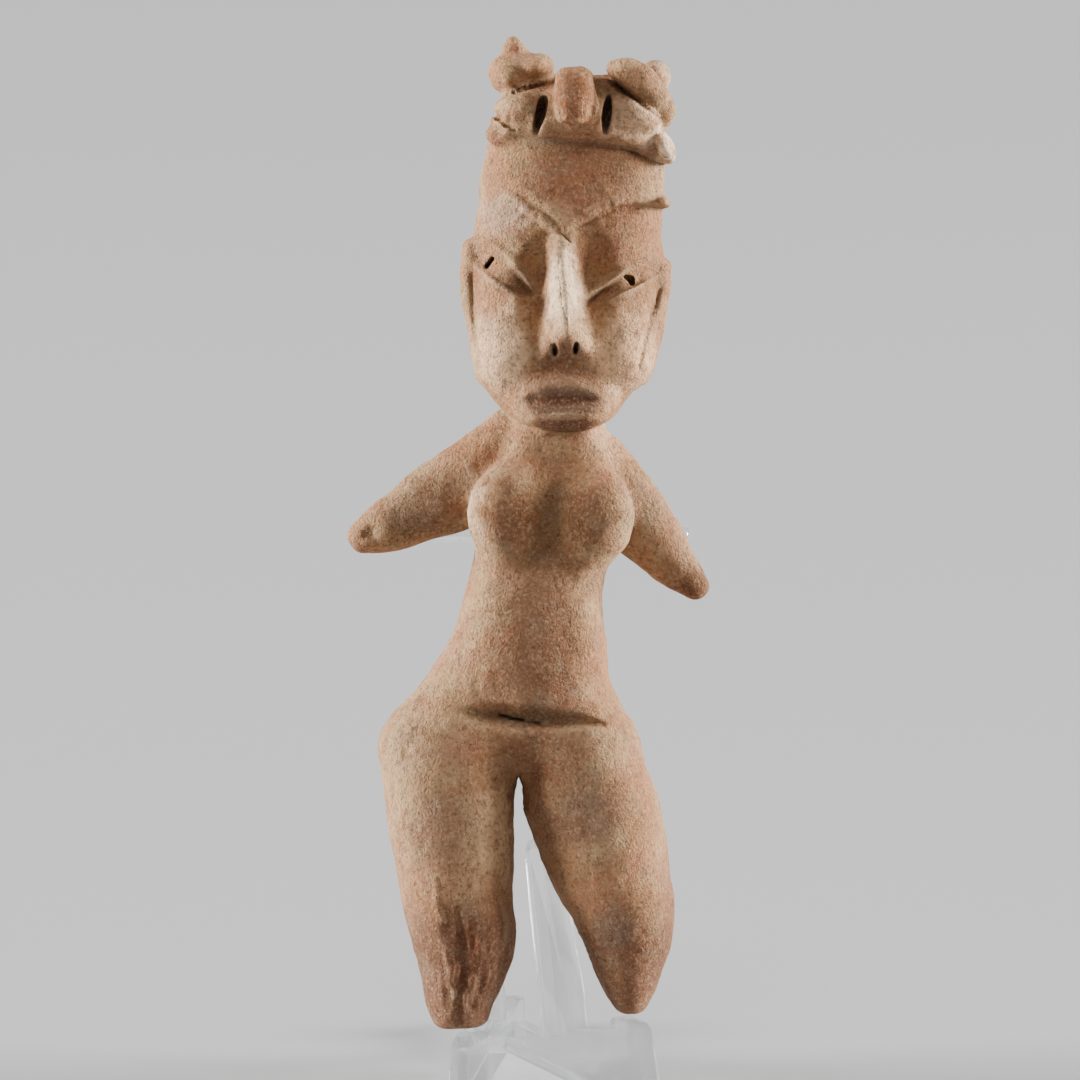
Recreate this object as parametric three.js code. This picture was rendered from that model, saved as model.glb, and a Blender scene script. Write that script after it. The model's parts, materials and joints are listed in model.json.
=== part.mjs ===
// Hand-modelled clay figurine leaning on a clear acrylic stand of two slotted plates and a rod.
// Millimetres, +Z up, the figurine faces -Y. Every length below is measured on the figurine itself.
import * as THREE from 'three';

// Driving dimensions
const LEAN = 12;
const FOOT_HEIGHT = 12.1;
const GAP = 0.35;
const SHEET = 3;
const BAR_HEIGHT = 5;
const ROD_RADIUS = 1.25;
const CLAY_CELL = 0.85;
const BODY_CELL_HEIGHT = 1.3;
const CLAY_TRIANGLES = 7400;
const ARC_STEPS = 6;
const ROD_SIDES = 16;

const radians = THREE.MathUtils.degToRad;

// Forms are functions of x, y, z that give the distance to a surface, negative inside.
const blend = (a, b, soft) => {
  const near = Math.max(soft - Math.abs(a - b), 0) / soft;
  return Math.min(a, b) - near * near * soft * 0.25;
};
const join = (f, g, soft) => (x, y, z) => blend(f(x, y, z), g(x, y, z), soft);
const press = (f, g, soft) => (x, y, z) => -blend(-f(x, y, z), g(x, y, z), soft);

// A layer of clay of the given height, laid on f inside the mask
const raise = (f, mask, height, soft) => (x, y, z) => {
  const d = f(x, y, z);
  const layer = -blend(-mask(x, y, z), height - d, soft);
  return blend(d, layer, soft * 0.6);
};

// A hollow of the given depth, sunk into f inside the mask
const sink = (f, mask, depth, soft) => (x, y, z) => {
  const d = f(x, y, z);
  const floor = blend(-mask(x, y, z), d + depth, soft);
  return -blend(-d, -floor, soft * 0.6);
};

// Smooth values between stations, each a list that starts with its place along the axis
const smoothCurve = (list) => {
  const stations = [...list].sort((a, b) => a[0] - b[0]);
  const last = stations.length - 1;
  const width = stations[0].length - 1;
  const slope = (i, j) => (stations[i + 1][j] - stations[i][j]) / (stations[i + 1][0] - stations[i][0]);
  const tangents = stations.map((station, i) => {
    const tangent = [];
    for (let j = 1; j <= width; j += 1) {
      if (i === 0 || i === last) {
        tangent.push(slope(i === 0 ? 0 : last - 1, j));
      } else {
        const before = station[0] - stations[i - 1][0];
        const after = stations[i + 1][0] - station[0];
        tangent.push((slope(i - 1, j) * after + slope(i, j) * before) / (before + after));
      }
    }
    return tangent;
  });
  return (place, out) => {
    const t = Math.min(Math.max(place, stations[0][0]), stations[last][0]);
    let i = 0;
    while (i < last - 1 && t > stations[i + 1][0]) {
      i += 1;
    }
    const run = stations[i + 1][0] - stations[i][0];
    const u = (t - stations[i][0]) / run;
    const uu = u * u;
    const uuu = uu * u;
    for (let j = 0; j < width; j += 1) {
      const start = (2 * uuu - 3 * uu + 1) * stations[i][j + 1];
      const end = (3 * uu - 2 * uuu) * stations[i + 1][j + 1];
      out[j] = start + end + ((uuu - 2 * uu + u) * tangents[i][j] + (uuu - uu) * tangents[i + 1][j]) * run;
    }
    return out;
  };
};

// A rolled form along an axis in the front plane. Stations are [along, across, half width, y, half depth];
// box runs from 2 for an ellipse down to 0 for a square, and low and high round the two ends.
const loft = (stations, { box, low, high, origin = [0, 0], turn = 0 }) => {
  const curve = smoothCurve(stations);
  const places = stations.map((station) => station[0]);
  const first = Math.min(...places);
  const final = Math.max(...places);
  const cosine = Math.cos(radians(turn));
  const sine = Math.sin(radians(turn));
  const at = [0, 0, 0, 0];
  return (x, y, z) => {
    const dx = x - origin[0];
    const dz = z - origin[1];
    const along = dx * sine + dz * cosine;
    const across = dx * cosine - dz * sine;
    curve(along, at);
    const u = (across - at[0]) / at[1];
    const v = (y - at[2]) / at[3];
    const uu = u * u;
    const vv = v * v;
    const size = Math.sqrt(Math.sqrt(uu * uu + vv * vv + box * uu * vv + 1e-12));
    const scale = 1 / (4 * size * size * size + 1e-9);
    const gradientU = (4 * u * uu + 2 * box * u * vv) * scale / at[1];
    const gradientV = (4 * v * vv + 2 * box * v * uu) * scale / at[3];
    const side = (size - 1) / (Math.hypot(gradientU, gradientV) + 1e-6);
    return -blend(-(-blend(-side, along - first, low)), final - along, high);
  };
};

// A pressed-on ball of clay with three radii; roll lifts its +X end, in degrees
const lump = (cx, cy, cz, rx, ry, rz, roll = 0) => {
  const cosine = Math.cos(radians(roll));
  const sine = Math.sin(radians(roll));
  return (px, py, pz) => {
    const dx = px - cx;
    const y = py - cy;
    const dz = pz - cz;
    const x = dx * cosine + dz * sine;
    const z = dz * cosine - dx * sine;
    const near = Math.hypot(x / rx, y / ry, z / rz) + 1e-9;
    const far = Math.hypot(x / (rx * rx), y / (ry * ry), z / (rz * rz)) + 1e-9;
    return near * (near - 1) / far;
  };
};

// A roll of clay, or the mark of a tool, through points [x, y, z, radius]; flat stretches it along Y
const stroke = (points, flat = 1, soft = 0) => (x, y, z) => {
  let best = Infinity;
  for (let i = 0; i < points.length - 1; i += 1) {
    const [ax, ay, az, ar] = points[i];
    const [bx, by, bz, br] = points[i + 1];
    const ux = bx - ax;
    const uy = (by - ay) / flat;
    const uz = bz - az;
    const qx = x - ax;
    const qy = (y - ay) / flat;
    const qz = z - az;
    const share = (qx * ux + qy * uy + qz * uz) / (ux * ux + uy * uy + uz * uz);
    const t = Math.min(Math.max(share, 0), 1);
    const d = Math.hypot(qx - t * ux, qy - t * uy, qz - t * uz) - (ar + t * (br - ar));
    best = soft > 0 && best < Infinity ? blend(best, d, soft) : Math.min(best, d);
  }
  return best;
};

// A leaf outline on the front of the head: middle of its chord, half length, bulge up and down, roll
const FRONT_ONLY = -4;
const leaf = (cx, cz, half, up, down, roll = 0) => {
  const cosine = Math.cos(radians(roll));
  const sine = Math.sin(radians(roll));
  const upper = (half * half + up * up) / (2 * up);
  const lower = (half * half + down * down) / (2 * down);
  return (x, y, z) => {
    const u = (x - cx) * cosine + (z - cz) * sine;
    const v = (z - cz) * cosine - (x - cx) * sine;
    const top = Math.hypot(u, v + upper - up) - upper;
    const bottom = Math.hypot(u, v - lower + down) - lower;
    return Math.max(top, bottom, y - FRONT_ONLY);
  };
};

// Everything over a line through marks [x, z] on the front, which runs straight round the back
const LINE_TURN = 4;
const above = (marks) => {
  const front = smoothCurve(marks);
  const back = smoothCurve([marks[0], marks[marks.length - 1]]);
  const frontAt = [0];
  const backAt = [0];
  return (x, y, z) => {
    const behind = Math.min(Math.max(0.5 + y / LINE_TURN, 0), 1);
    const height = front(x, frontAt)[0] * (1 - behind) + back(x, backAt)[0] * behind;
    return (height - z) * 0.9;
  };
};

// Torso from the neck to the hips, widest at the hips
const makeTorso = () => loft([
  [97.2, 4.5, 6.3, 1.2, 6.2],
  [91.8, 4.3, 7.7, 0.8, 6.4],
  [87.2, 4.2, 9, 0.4, 6.8],
  [81.1, 3.6, 10.8, 0, 7.4],
  [74.9, 2.8, 10.6, -0.2, 7.8],
  [70.3, 1.6, 10.4, -0.4, 8],
  [65.7, 0.7, 10.8, -0.6, 8.4],
  [59.6, -0.1, 12.1, -0.8, 9.2],
  [53.4, -1.6, 14.1, -0.9, 10.2],
  [48.1, -2.5, 16.9, -0.8, 11],
  [44.2, -2, 18, -0.6, 11.2],
  [39.3, -1.2, 16.9, -0.4, 9.6],
], { box: 1, low: 7, high: 4 });

// Legs swell at the thigh and taper to a blunt point
const makeLegs = () => {
  const left = loft([
    [51.9, -11.2, 5.4, -0.8, 9],
    [48.5, -11.9, 8.5, -0.8, 10.6],
    [44.5, -12.7, 10.2, -0.8, 11.6],
    [39.6, -12.3, 10.4, -0.8, 12.2],
    [35, -12, 10, -1, 12.2],
    [29.5, -11.8, 9.6, -1.2, 11.8],
    [24.3, -11.3, 9, -1.4, 11],
    [19.7, -10.8, 8.5, -1.6, 10.4],
    [15, -9.9, 8.1, -1.8, 9.6],
    [10.4, -9.6, 7.3, -2, 8.6],
    [6.6, -9.9, 6.1, -2.2, 7.6],
    [3.4, -10.4, 5.1, -2.4, 6.6],
    [1.2, -10.3, 4.3, -2.5, 5.6],
    [-0.2, -10.3, 3.2, -2.6, 4.2],
  ], { box: 1.3, low: 1.2, high: 6 });
  const right = loft([
    [51.9, 6.1, 5.8, -0.8, 9],
    [48.5, 7, 7.5, -0.8, 10.6],
    [44.5, 7.9, 8.7, -0.8, 11.6],
    [38.8, 8.9, 9.7, -0.8, 12.2],
    [33.8, 9.9, 10.5, -1, 12.2],
    [29.5, 11, 10.1, -1.2, 11.8],
    [25, 12.1, 9.5, -1.4, 11.2],
    [20.9, 13.3, 9, -1.6, 10.6],
    [16.6, 14.6, 7.8, -1.8, 9.6],
    [12.3, 15.3, 6.4, -2, 8.2],
    [8.1, 15.4, 4.8, -2.2, 6.8],
    [4.3, 15.6, 3, -2.4, 4.8],
    [2.3, 15.8, 1.8, -2.5, 3.4],
  ], { box: 1.3, low: 1.2, high: 6 });
  return join(left, right, 0.2);
};

// Arms are stubs that point down and out, without hands
const makeArms = () => {
  const left = loft([
    [-5.2, 0.8, 6.9, 1.6, 5],
    [0, -0.6, 7.1, 1.6, 5.2],
    [5.7, -1, 6.7, 1.2, 5],
    [11.5, -0.8, 5.8, 0.8, 4.6],
    [16.9, -0.7, 4.6, 0.4, 4.1],
    [21.5, -0.7, 3.6, 0, 3.4],
    [24.6, -0.7, 2.5, -0.2, 2.5],
    [26.4, -0.7, 1.5, -0.3, 1.6],
  ], { box: 1.7, low: 3, high: 1.2, origin: [-4.3, 86.9], turn: 242.5 });
  const right = loft([
    [-5.5, 1.5, 5.2, 1.6, 4.6],
    [1.1, 1.7, 6, 1.4, 5.2],
    [8.6, 1.6, 5.5, 1, 4.8],
    [14.6, 1.3, 4.3, 0.4, 4.2],
    [18.7, 1.1, 3.3, 0, 3.4],
    [21.8, 0.6, 2.3, -0.2, 2.5],
    [24, 0.4, 1.3, -0.3, 1.6],
  ], { box: 1.7, low: 3, high: 1.2, origin: [12.6, 85.7], turn: 142.7 });
  return join(left, right, 0.1);
};

// Body: seat, belly and breasts pressed onto the torso and legs, and a gouge across the belly
const makeBody = () => {
  const seat = join(lump(-10.1, 6.6, 41.8, 8.9, 7, 8.6), lump(8.6, 6.6, 41.8, 8.3, 7, 8.6), 1);
  const belly = lump(0.3, -5, 58, 9.5, 5.6, 10.1);
  const leftBreast = lump(-3.9, -6.4, 79.4, 5, 3.8, 6.8, -8);
  const rightBreast = lump(10.9, -6.4, 78.4, 5.3, 4, 6.3);
  const legSlot = lump(-1.5, 0, 33.5, 0.6, 40, 5.2);
  const gouge = stroke([
    [-12.4, -12.4, 49.1, 0.5],
    [-5.5, -12.8, 48.2, 2.1],
    [1.1, -12.8, 47.6, 2.1],
    [11.6, -11, 46.9, 0.5],
  ], 1.3);
  let form = join(makeTorso(), makeLegs(), 3);
  form = join(form, seat, 4);
  form = join(form, belly, 4);
  form = press(form, legSlot, 0.8);
  form = join(form, join(leftBreast, rightBreast, 5), 4.6);
  form = join(form, makeArms(), 1);
  return press(form, gouge, 0.5);
};

// The nose is a pinched ridge that widens and stands out downward; its underside slopes back to the face
const NOSE_TOP = 121;
const NOSE_BASE = 102.4;
const NOSE_REACH = 5.2;
const FACE_FRONT = -10.6;
const NOSE_ROOT = -8.5;
const UNDERSIDE_RISE = 3.5;
const makeNose = () => {
  const profile = smoothCurve([
    [104.9, 6, 3.8, 5.2],
    [106.5, 5.9, 3.6, 5.2],
    [111.8, 5.6, 2.3, 3.9],
    [118.4, 5, 1.5, 2],
    [121.5, 4.9, 0.8, 0.4],
  ]);
  const at = [0, 0, 0];
  return (x, y, z) => {
    const [middle, half, reach] = profile(z, at);
    const out = FACE_FRONT - y;
    const aside = Math.sqrt((x - middle) ** 2 + 0.12) - 0.346;
    const roof = (out - reach * (1 - (aside / half) ** 1.2)) / Math.hypot(1, reach / half);
    const under = (NOSE_BASE + out * UNDERSIDE_RISE / NOSE_REACH - z) * 0.83;
    let d = -blend(-roof, NOSE_ROOT - y, 0.5);
    d = -blend(-d, half + 0.3 - aside, 0.6);
    d = -blend(-d, -under, 1);
    return -blend(-d, NOSE_TOP - z, 1);
  };
};

// Head: hollow sockets, full cheeks, a ridge nose, slit eyes with round pupils, strip ears and a cap
const makeHead = () => {
  const skull = loft([
    [144.9, 8, 9.2, 1, 6],
    [141, 8.3, 12, 0.6, 8.4],
    [136.3, 7.5, 13.1, 0.2, 9.2],
    [128.7, 6.6, 14.1, 0, 10],
    [121.5, 6.1, 14.5, -0.2, 10.6],
    [113.3, 5.8, 14.7, -0.4, 10.8],
    [107.2, 5.6, 13.4, -0.6, 10.6],
    [102.3, 5.3, 12.2, -0.9, 10],
    [98.3, 4.8, 11, -1.4, 9],
    [95.5, 4.8, 9.4, -2, 7.6],
    [93.4, 5.2, 7.2, -2.6, 6],
    [91.5, 5.5, 3.7, -3.2, 4],
  ], { box: 0.8, low: 1, high: 3 });
  const leftSocket = lump(2, -13.4, 114.7, 2.8, 4.6, 7.7, -6);
  const rightSocket = lump(10.1, -13.4, 115.5, 3.1, 4.6, 7.4, 8);
  const leftCheek = lump(-2.5, -6.6, 105.3, 5.2, 4.6, 7.7, -8);
  const rightCheek = lump(13.7, -6.6, 105.9, 5.2, 4.6, 7.7, 8);
  const leftWing = lump(3.2, -11.4, 105, 1.2, 2.3, 1.5);
  const rightWing = lump(8.5, -11.4, 105.2, 1.1, 2.3, 1.5);
  const leftNostril = lump(4.1, -13.4, 103.9, 0.5, 3, 1.1);
  const rightNostril = lump(7.3, -13.4, 104.1, 0.5, 3, 1);
  const muzzle = lump(5.4, -8.2, 95.9, 6.9, 5.4, 4.8);
  const mouth = leaf(5.1, 96.3, 5.5, 2.1, 1.6);
  const underLip = leaf(5.4, 92.6, 5.2, 0.4, 1.9);
  const leftEye = leaf(-4.1, 115.5, 6.8, 3.2, 1.1, -34);
  const rightEye = leaf(15.2, 114.1, 6.7, 2.6, 0.8, 25);
  const leftPupil = stroke([[-6.3, -10.2, 116.8, 0.5], [-5.4, -10.2, 118, 0.5]], 5);
  const rightPupil = stroke([[15.2, -10.2, 115.1, 0.5], [15.8, -10.2, 114.4, 0.5]], 5);
  const leftEar = stroke([
    [-8.9, -3, 119.8, 1.3],
    [-9.4, -3.4, 114.4, 1],
    [-8.5, -3.6, 107.8, 1.1],
    [-6.8, -3.8, 100.4, 1.1],
  ], 1.8);
  const rightEar = stroke([
    [20.7, -3, 116.7, 1.2],
    [20.6, -3.4, 113, 1.2],
    [19.4, -3.6, 107.2, 1.3],
    [17.2, -3.8, 100.4, 1.3],
  ], 1.8);
  const leftEarCrease = stroke([
    [-8.6, -7.6, 117, 0.4],
    [-8.3, -9, 113.3, 0.4],
    [-7.5, -9.2, 107.8, 0.4],
    [-6.8, -8.6, 102.3, 0.4],
  ], 1.6);
  const rightEarCrease = stroke([
    [20.4, -7.6, 113.9, 0.4],
    [19.7, -8.6, 110.9, 0.4],
    [18.6, -8.8, 107.2, 0.4],
    [17.4, -8.6, 102.9, 0.4],
  ], 1.6);
  const hairline = above([
    [-13.5, 128.7],
    [-7.7, 128.9],
    [-5.1, 128.7],
    [-3, 127.3],
    [-0.8, 125.2],
    [1.9, 123.3],
    [5, 121],
    [6.6, 122.6],
    [9.6, 124.3],
    [12.6, 125.9],
    [17.2, 126.6],
    [26.4, 126.7],
  ]);
  const capTab = lump(20.8, -5.4, 126.6, 1.2, 4, 0.9, -14);
  let form = press(skull, join(leftSocket, rightSocket, 0.1), 3);
  form = join(form, join(leftCheek, rightCheek, 0.1), 3.5);
  form = join(form, makeNose(), 1.2);
  form = join(form, join(leftWing, rightWing, 0.1), 1);
  form = press(form, join(leftNostril, rightNostril, 0.1), 0.3);
  form = join(form, muzzle, 2);
  form = sink(form, mouth, 1.1, 1.3);
  form = sink(form, underLip, 0.6, 1.2);
  form = sink(form, join(leftEye, rightEye, 0.1), 0.7, 1);
  form = press(form, join(leftPupil, rightPupil, 0.1), 0.2);
  form = join(form, join(leftEar, rightEar, 0.1), 0.5);
  form = press(form, join(leftEarCrease, rightEarCrease, 0.1), 0.4);
  form = raise(form, hairline, 0.45, 0.6);
  return join(form, capTab, 1.2);
};

// Headdress: a rolled brim, a bun with a pointed tip, a strap over a second bun, and a peg between two slits
const makeHeaddress = () => {
  const core = loft([
    [146.2, 8, 9.2, -1, 6.5],
    [143.7, 8, 11.1, -1.6, 8.6],
    [141.3, 8.1, 12.4, -1.8, 9.6],
    [138.6, 7.6, 13, -1.6, 10],
    [136, 7.4, 13.1, -1.4, 9.5],
  ], { box: 1, low: 1.4, high: 4 });
  const brim = stroke([
    [-5.3, -6.8, 137, 1.1],
    [-3.1, -9, 138.3, 1.4],
    [2.2, -10.2, 138.9, 1.6],
    [7.1, -10.5, 139, 1.6],
    [11.7, -10.2, 138.7, 1.6],
    [16.6, -8.6, 137.3, 1.5],
    [20.6, -4.8, 134.8, 1.5],
  ], 0.9, 0.6);
  const leftLobe = lump(-0.6, -7, 140.7, 4.8, 5, 3.3);
  const lappet = stroke([
    [-4.6, -6.8, 139.4, 1.1],
    [-4.7, -6.6, 136.9, 1.15],
    [-2.6, -8.6, 137.8, 1.2],
  ], 1.2, 0.8);
  const lappetCrease = stroke([
    [-6.6, -10.4, 141, 0.4],
    [-4.2, -11.8, 139.3, 0.5],
    [-1.9, -12.2, 137.5, 0.4],
  ], 1.5);
  const bunHead = lump(-2.9, -3.2, 146.3, 3.2, 6.4, 3.3);
  const bunTail = lump(1, -3.2, 147.3, 3.1, 6.8, 2.2, 6);
  const bunTip = stroke([
    [-2.5, -3.6, 151.3, 0.85],
    [-2.3, -3.6, 150, 1.8],
    [-1.9, -3.4, 148.8, 2.5],
  ], 1, 0.6);
  const rightLobe = lump(16.5, -7.4, 140.1, 4.5, 5, 3, -24);
  const sideLump = lump(20.7, -5.6, 135.3, 3, 3.8, 1.6, -63);
  const rightBun = lump(19.5, 0.2, 146, 2.5, 5.6, 2.7);
  const strap = stroke([
    [13, -7.8, 147.2, 0.9],
    [14.9, -8.5, 146.4, 1.9],
    [17.3, -9, 144.8, 2.3],
    [19.6, -8.4, 142.4, 1.9],
    [20.8, -7.4, 140.5, 1.4],
    [20.9, -6.8, 139.2, 1],
  ], 1.1, 2);
  const leftSlit = lump(1.9, -12, 140.1, 1, 4, 3.2, -8);
  const rightSlit = lump(12.1, -12, 140.2, 1, 4, 3.2, -6);
  const peg = loft([
    [147.4, 7, 1.8, -9.4, 1.6],
    [146.6, 7, 2.6, -9.8, 2.4],
    [145.2, 7, 3, -10.3, 3],
    [142.8, 7, 3.1, -10.9, 3.3],
    [140.6, 6.9, 2.9, -11.2, 3.3],
    [139.4, 6.8, 2.6, -11.3, 3],
    [138.6, 6.8, 2.2, -11.3, 2.6],
  ], { box: 1.2, low: 0.6, high: 0.6 });
  let form = join(core, brim, 1.8);
  form = join(form, leftLobe, 1.4);
  form = join(form, lappet, 0.8);
  form = press(form, lappetCrease, 0.4);
  form = join(form, join(bunHead, bunTail, 2.4), 1.2);
  form = join(form, bunTip, 0.7);
  form = join(form, rightLobe, 1.2);
  form = join(form, sideLump, 0.4);
  form = join(form, rightBun, 0.4);
  form = join(form, strap, 0.3);
  form = press(form, join(leftSlit, rightSlit, 0.1), 0.4);
  return join(form, peg, 0.3);
};

// The whole figurine; the body, head and headdress are each worked out only near themselves
const BODY_TOP = 99.5;
const HEAD_BOTTOM = 85.7;
const HEADDRESS_BOTTOM = 127.1;
const NECK_FILLET = 0.6;
const BRIM_FILLET = 2.4;
const FAR = 1000;
const makeFigurine = () => {
  const body = makeBody();
  const head = makeHead();
  const headdress = makeHeaddress();
  return (x, y, z) => {
    let d = FAR;
    if (z < BODY_TOP) {
      d = body(x, y, z);
    }
    if (z > HEAD_BOTTOM) {
      d = blend(d, head(x, y, z), NECK_FILLET);
    }
    if (z > HEADDRESS_BOTTOM) {
      d = blend(d, headdress(x, y, z), BRIM_FILLET);
    }
    return d;
  };
};

// Closed skin of a form: every cell of the grid is split into six tetrahedra along its long diagonal
const TETRAHEDRA = [
  [0, 1, 3, 7],
  [0, 3, 2, 7],
  [0, 2, 6, 7],
  [0, 6, 4, 7],
  [0, 4, 5, 7],
  [0, 5, 1, 7],
];
const SKIN_MARGIN = 0.06;
const gridLine = (start, end, cell) => {
  const steps = Math.ceil((end - start) / cell);
  return Array.from({ length: steps + 1 }, (unused, i) => start + (end - start) * (i / steps));
};
const skinForm = (form, lines) => {
  const count = lines.map((line) => line.length);
  const rowStep = count[0];
  const layerStep = count[0] * count[1];
  const values = new Float64Array(count[0] * count[1] * count[2]);
  const place = (index) => [
    lines[0][index % rowStep],
    lines[1][Math.floor(index / rowStep) % count[1]],
    lines[2][Math.floor(index / layerStep)],
  ];
  for (let index = 0; index < values.length; index += 1) {
    values[index] = form(...place(index)) || 1e-9;
  }
  const points = [];
  const faces = [];
  const found = new Map();
  const crossing = (a, b) => {
    const start = Math.min(a, b);
    const end = Math.max(a, b);
    const key = start * values.length + end;
    if (!found.has(key)) {
      const p = place(start);
      const q = place(end);
      const exact = values[start] / (values[start] - values[end]);
      const share = Math.min(Math.max(exact, SKIN_MARGIN), 1 - SKIN_MARGIN);
      found.set(key, points.length);
      points.push([0, 1, 2].map((k) => p[k] + share * (q[k] - p[k])));
    }
    return found.get(key);
  };
  const addFace = (i, j, k, inside) => {
    const p = new THREE.Vector3(...points[i]);
    const q = new THREE.Vector3(...points[j]);
    const r = new THREE.Vector3(...points[k]);
    const normal = q.clone().sub(p).cross(r.clone().sub(p));
    const outward = p.sub(new THREE.Vector3(...place(inside))).dot(normal) > 0;
    faces.push(outward ? [i, j, k] : [i, k, j]);
  };
  const square = [0, 1, rowStep, rowStep + 1];
  const corner = [...square, ...square.map((step) => step + layerStep)];
  for (let k = 0; k < count[2] - 1; k += 1) {
    for (let j = 0; j < count[1] - 1; j += 1) {
      for (let i = 0; i < count[0] - 1; i += 1) {
        const base = i + j * rowStep + k * layerStep;
        const cubeInside = corner.filter((step) => values[base + step] < 0).length;
        if (cubeInside > 0 && cubeInside < 8) {
          for (const tetrahedron of TETRAHEDRA) {
            const ends = tetrahedron.map((n) => base + corner[n]);
            const inner = ends.filter((n) => values[n] < 0);
            const outer = ends.filter((n) => values[n] >= 0);
            if (inner.length === 1) {
              addFace(...outer.map((n) => crossing(inner[0], n)), inner[0]);
            } else if (inner.length === 3) {
              addFace(...inner.map((n) => crossing(outer[0], n)), inner[0]);
            } else if (inner.length === 2) {
              const a = crossing(inner[0], outer[0]);
              const b = crossing(inner[0], outer[1]);
              const c = crossing(inner[1], outer[1]);
              const d = crossing(inner[1], outer[0]);
              addFace(a, b, c, inner[0]);
              addFace(a, c, d, inner[0]);
            }
          }
        }
      }
    }
  }
  return { points, faces };
};

// Thin out a closed skin by merging the pairs of points that change its shape least
const LEAST_TURN = 0.35;
const LEAST_AREA = 1e-3;
const LENGTH_COST = 1e-4;
const FLAT_SPREAD = 1e-3;
const thinSkin = ({ points, faces }, target) => {
  const around = points.map(() => new Set());
  faces.forEach((face, index) => face.forEach((point) => around[point].add(index)));
  const alive = faces.map(() => true);
  const stamp = points.map(() => 0);
  const planeOf = (p, q, r) => {
    const ux = q[0] - p[0];
    const uy = q[1] - p[1];
    const uz = q[2] - p[2];
    const vx = r[0] - p[0];
    const vy = r[1] - p[1];
    const vz = r[2] - p[2];
    const nx = uy * vz - uz * vy;
    const ny = uz * vx - ux * vz;
    const nz = ux * vy - uy * vx;
    const area = Math.hypot(nx, ny, nz);
    return [nx / area, ny / area, nz / area, area];
  };
  const spread = points.map(() => new Float64Array(10));
  faces.forEach((face) => {
    const [a, b, c, area] = planeOf(...face.map((n) => points[n]));
    const p = points[face[0]];
    const d = -(a * p[0] + b * p[1] + c * p[2]);
    const terms = [a * a, a * b, a * c, a * d, b * b, b * c, b * d, c * c, c * d, d * d];
    face.forEach((n) => terms.forEach((term, t) => {
      spread[n][t] += term * area;
    }));
  });
  const costAt = (q, [x, y, z]) => q[0] * x * x + 2 * q[1] * x * y + 2 * q[2] * x * z + 2 * q[3] * x
    + q[4] * y * y + 2 * q[5] * y * z + 2 * q[6] * y + q[7] * z * z + 2 * q[8] * z + q[9];
  const meeting = (a, b) => {
    const q = spread[a].map((value, t) => value + spread[b][t]);
    const middle = [0, 1, 2].map((k) => (points[a][k] + points[b][k]) / 2);
    const matrix = new THREE.Matrix3(q[0], q[1], q[2], q[1], q[4], q[5], q[2], q[5], q[7]);
    const size = (q[0] + q[4] + q[7]) / 3;
    const reach = Math.hypot(...[0, 1, 2].map((k) => points[a][k] - points[b][k]));
    let best = middle;
    if (Math.abs(matrix.determinant()) > FLAT_SPREAD * size ** 3) {
      const spot = new THREE.Vector3(-q[3], -q[6], -q[8]).applyMatrix3(matrix.invert());
      if (spot.distanceTo(new THREE.Vector3(...middle)) < reach) {
        best = spot.toArray();
      }
    }
    return { best, cost: costAt(q, best) + LENGTH_COST * reach * reach };
  };
  const heap = [];
  const swap = (i, j) => {
    const kept = heap[i];
    heap[i] = heap[j];
    heap[j] = kept;
  };
  const pushPair = (a, b) => {
    const { best, cost } = meeting(a, b);
    heap.push({ a, b, best, cost, stampA: stamp[a], stampB: stamp[b] });
    let i = heap.length - 1;
    while (i > 0 && heap[(i - 1) >> 1].cost > heap[i].cost) {
      swap(i, (i - 1) >> 1);
      i = (i - 1) >> 1;
    }
  };
  const popPair = () => {
    const top = heap[0];
    const end = heap.pop();
    if (heap.length > 0) {
      heap[0] = end;
      let i = 0;
      let next = 0;
      while (next >= 0) {
        next = -1;
        let least = heap[i].cost;
        for (const child of [2 * i + 1, 2 * i + 2]) {
          if (child < heap.length && heap[child].cost < least) {
            least = heap[child].cost;
            next = child;
          }
        }
        if (next >= 0) {
          swap(i, next);
          i = next;
        }
      }
    }
    return top;
  };
  const neighbours = (a) => {
    const set = new Set();
    around[a].forEach((index) => faces[index].forEach((n) => set.add(n)));
    set.delete(a);
    return set;
  };
  faces.forEach(([a, b, c]) => [[a, b], [b, c], [c, a]].forEach(([p, q]) => {
    if (p < q) {
      pushPair(p, q);
    }
  }));
  const turnsOver = (mover, other, spot) => [...around[mover]].some((index) => {
    const face = faces[index];
    if (face.includes(other)) {
      return false;
    }
    const before = planeOf(...face.map((n) => points[n]));
    const after = planeOf(...face.map((n) => (n === mover ? spot : points[n])));
    const turned = before[0] * after[0] + before[1] * after[1] + before[2] * after[2];
    return !(turned > LEAST_TURN) || after[3] < LEAST_AREA;
  });
  let left = faces.length;
  while (left > target && heap.length > 0) {
    const pair = popPair();
    const { a, b, best } = pair;
    const unchanged = pair.stampA === stamp[a] && pair.stampB === stamp[b];
    if (unchanged && around[a].size > 0 && around[b].size > 0) {
      const shared = [...neighbours(a)].filter((n) => neighbours(b).has(n));
      if (shared.length === 2 && !turnsOver(a, b, best) && !turnsOver(b, a, best)) {
        points[a] = best;
        spread[b].forEach((value, t) => {
          spread[a][t] += value;
        });
        [...around[b]].forEach((index) => {
          if (faces[index].includes(a)) {
            faces[index].forEach((n) => around[n].delete(index));
            alive[index] = false;
            left -= 1;
          } else {
            faces[index] = faces[index].map((n) => (n === b ? a : n));
            around[a].add(index);
          }
        });
        around[b].clear();
        stamp[a] += 1;
        stamp[b] += 1;
        neighbours(a).forEach((n) => pushPair(Math.min(a, n), Math.max(a, n)));
      }
    }
  }
  return { points, faces: faces.filter((face, index) => alive[index]) };
};

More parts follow.
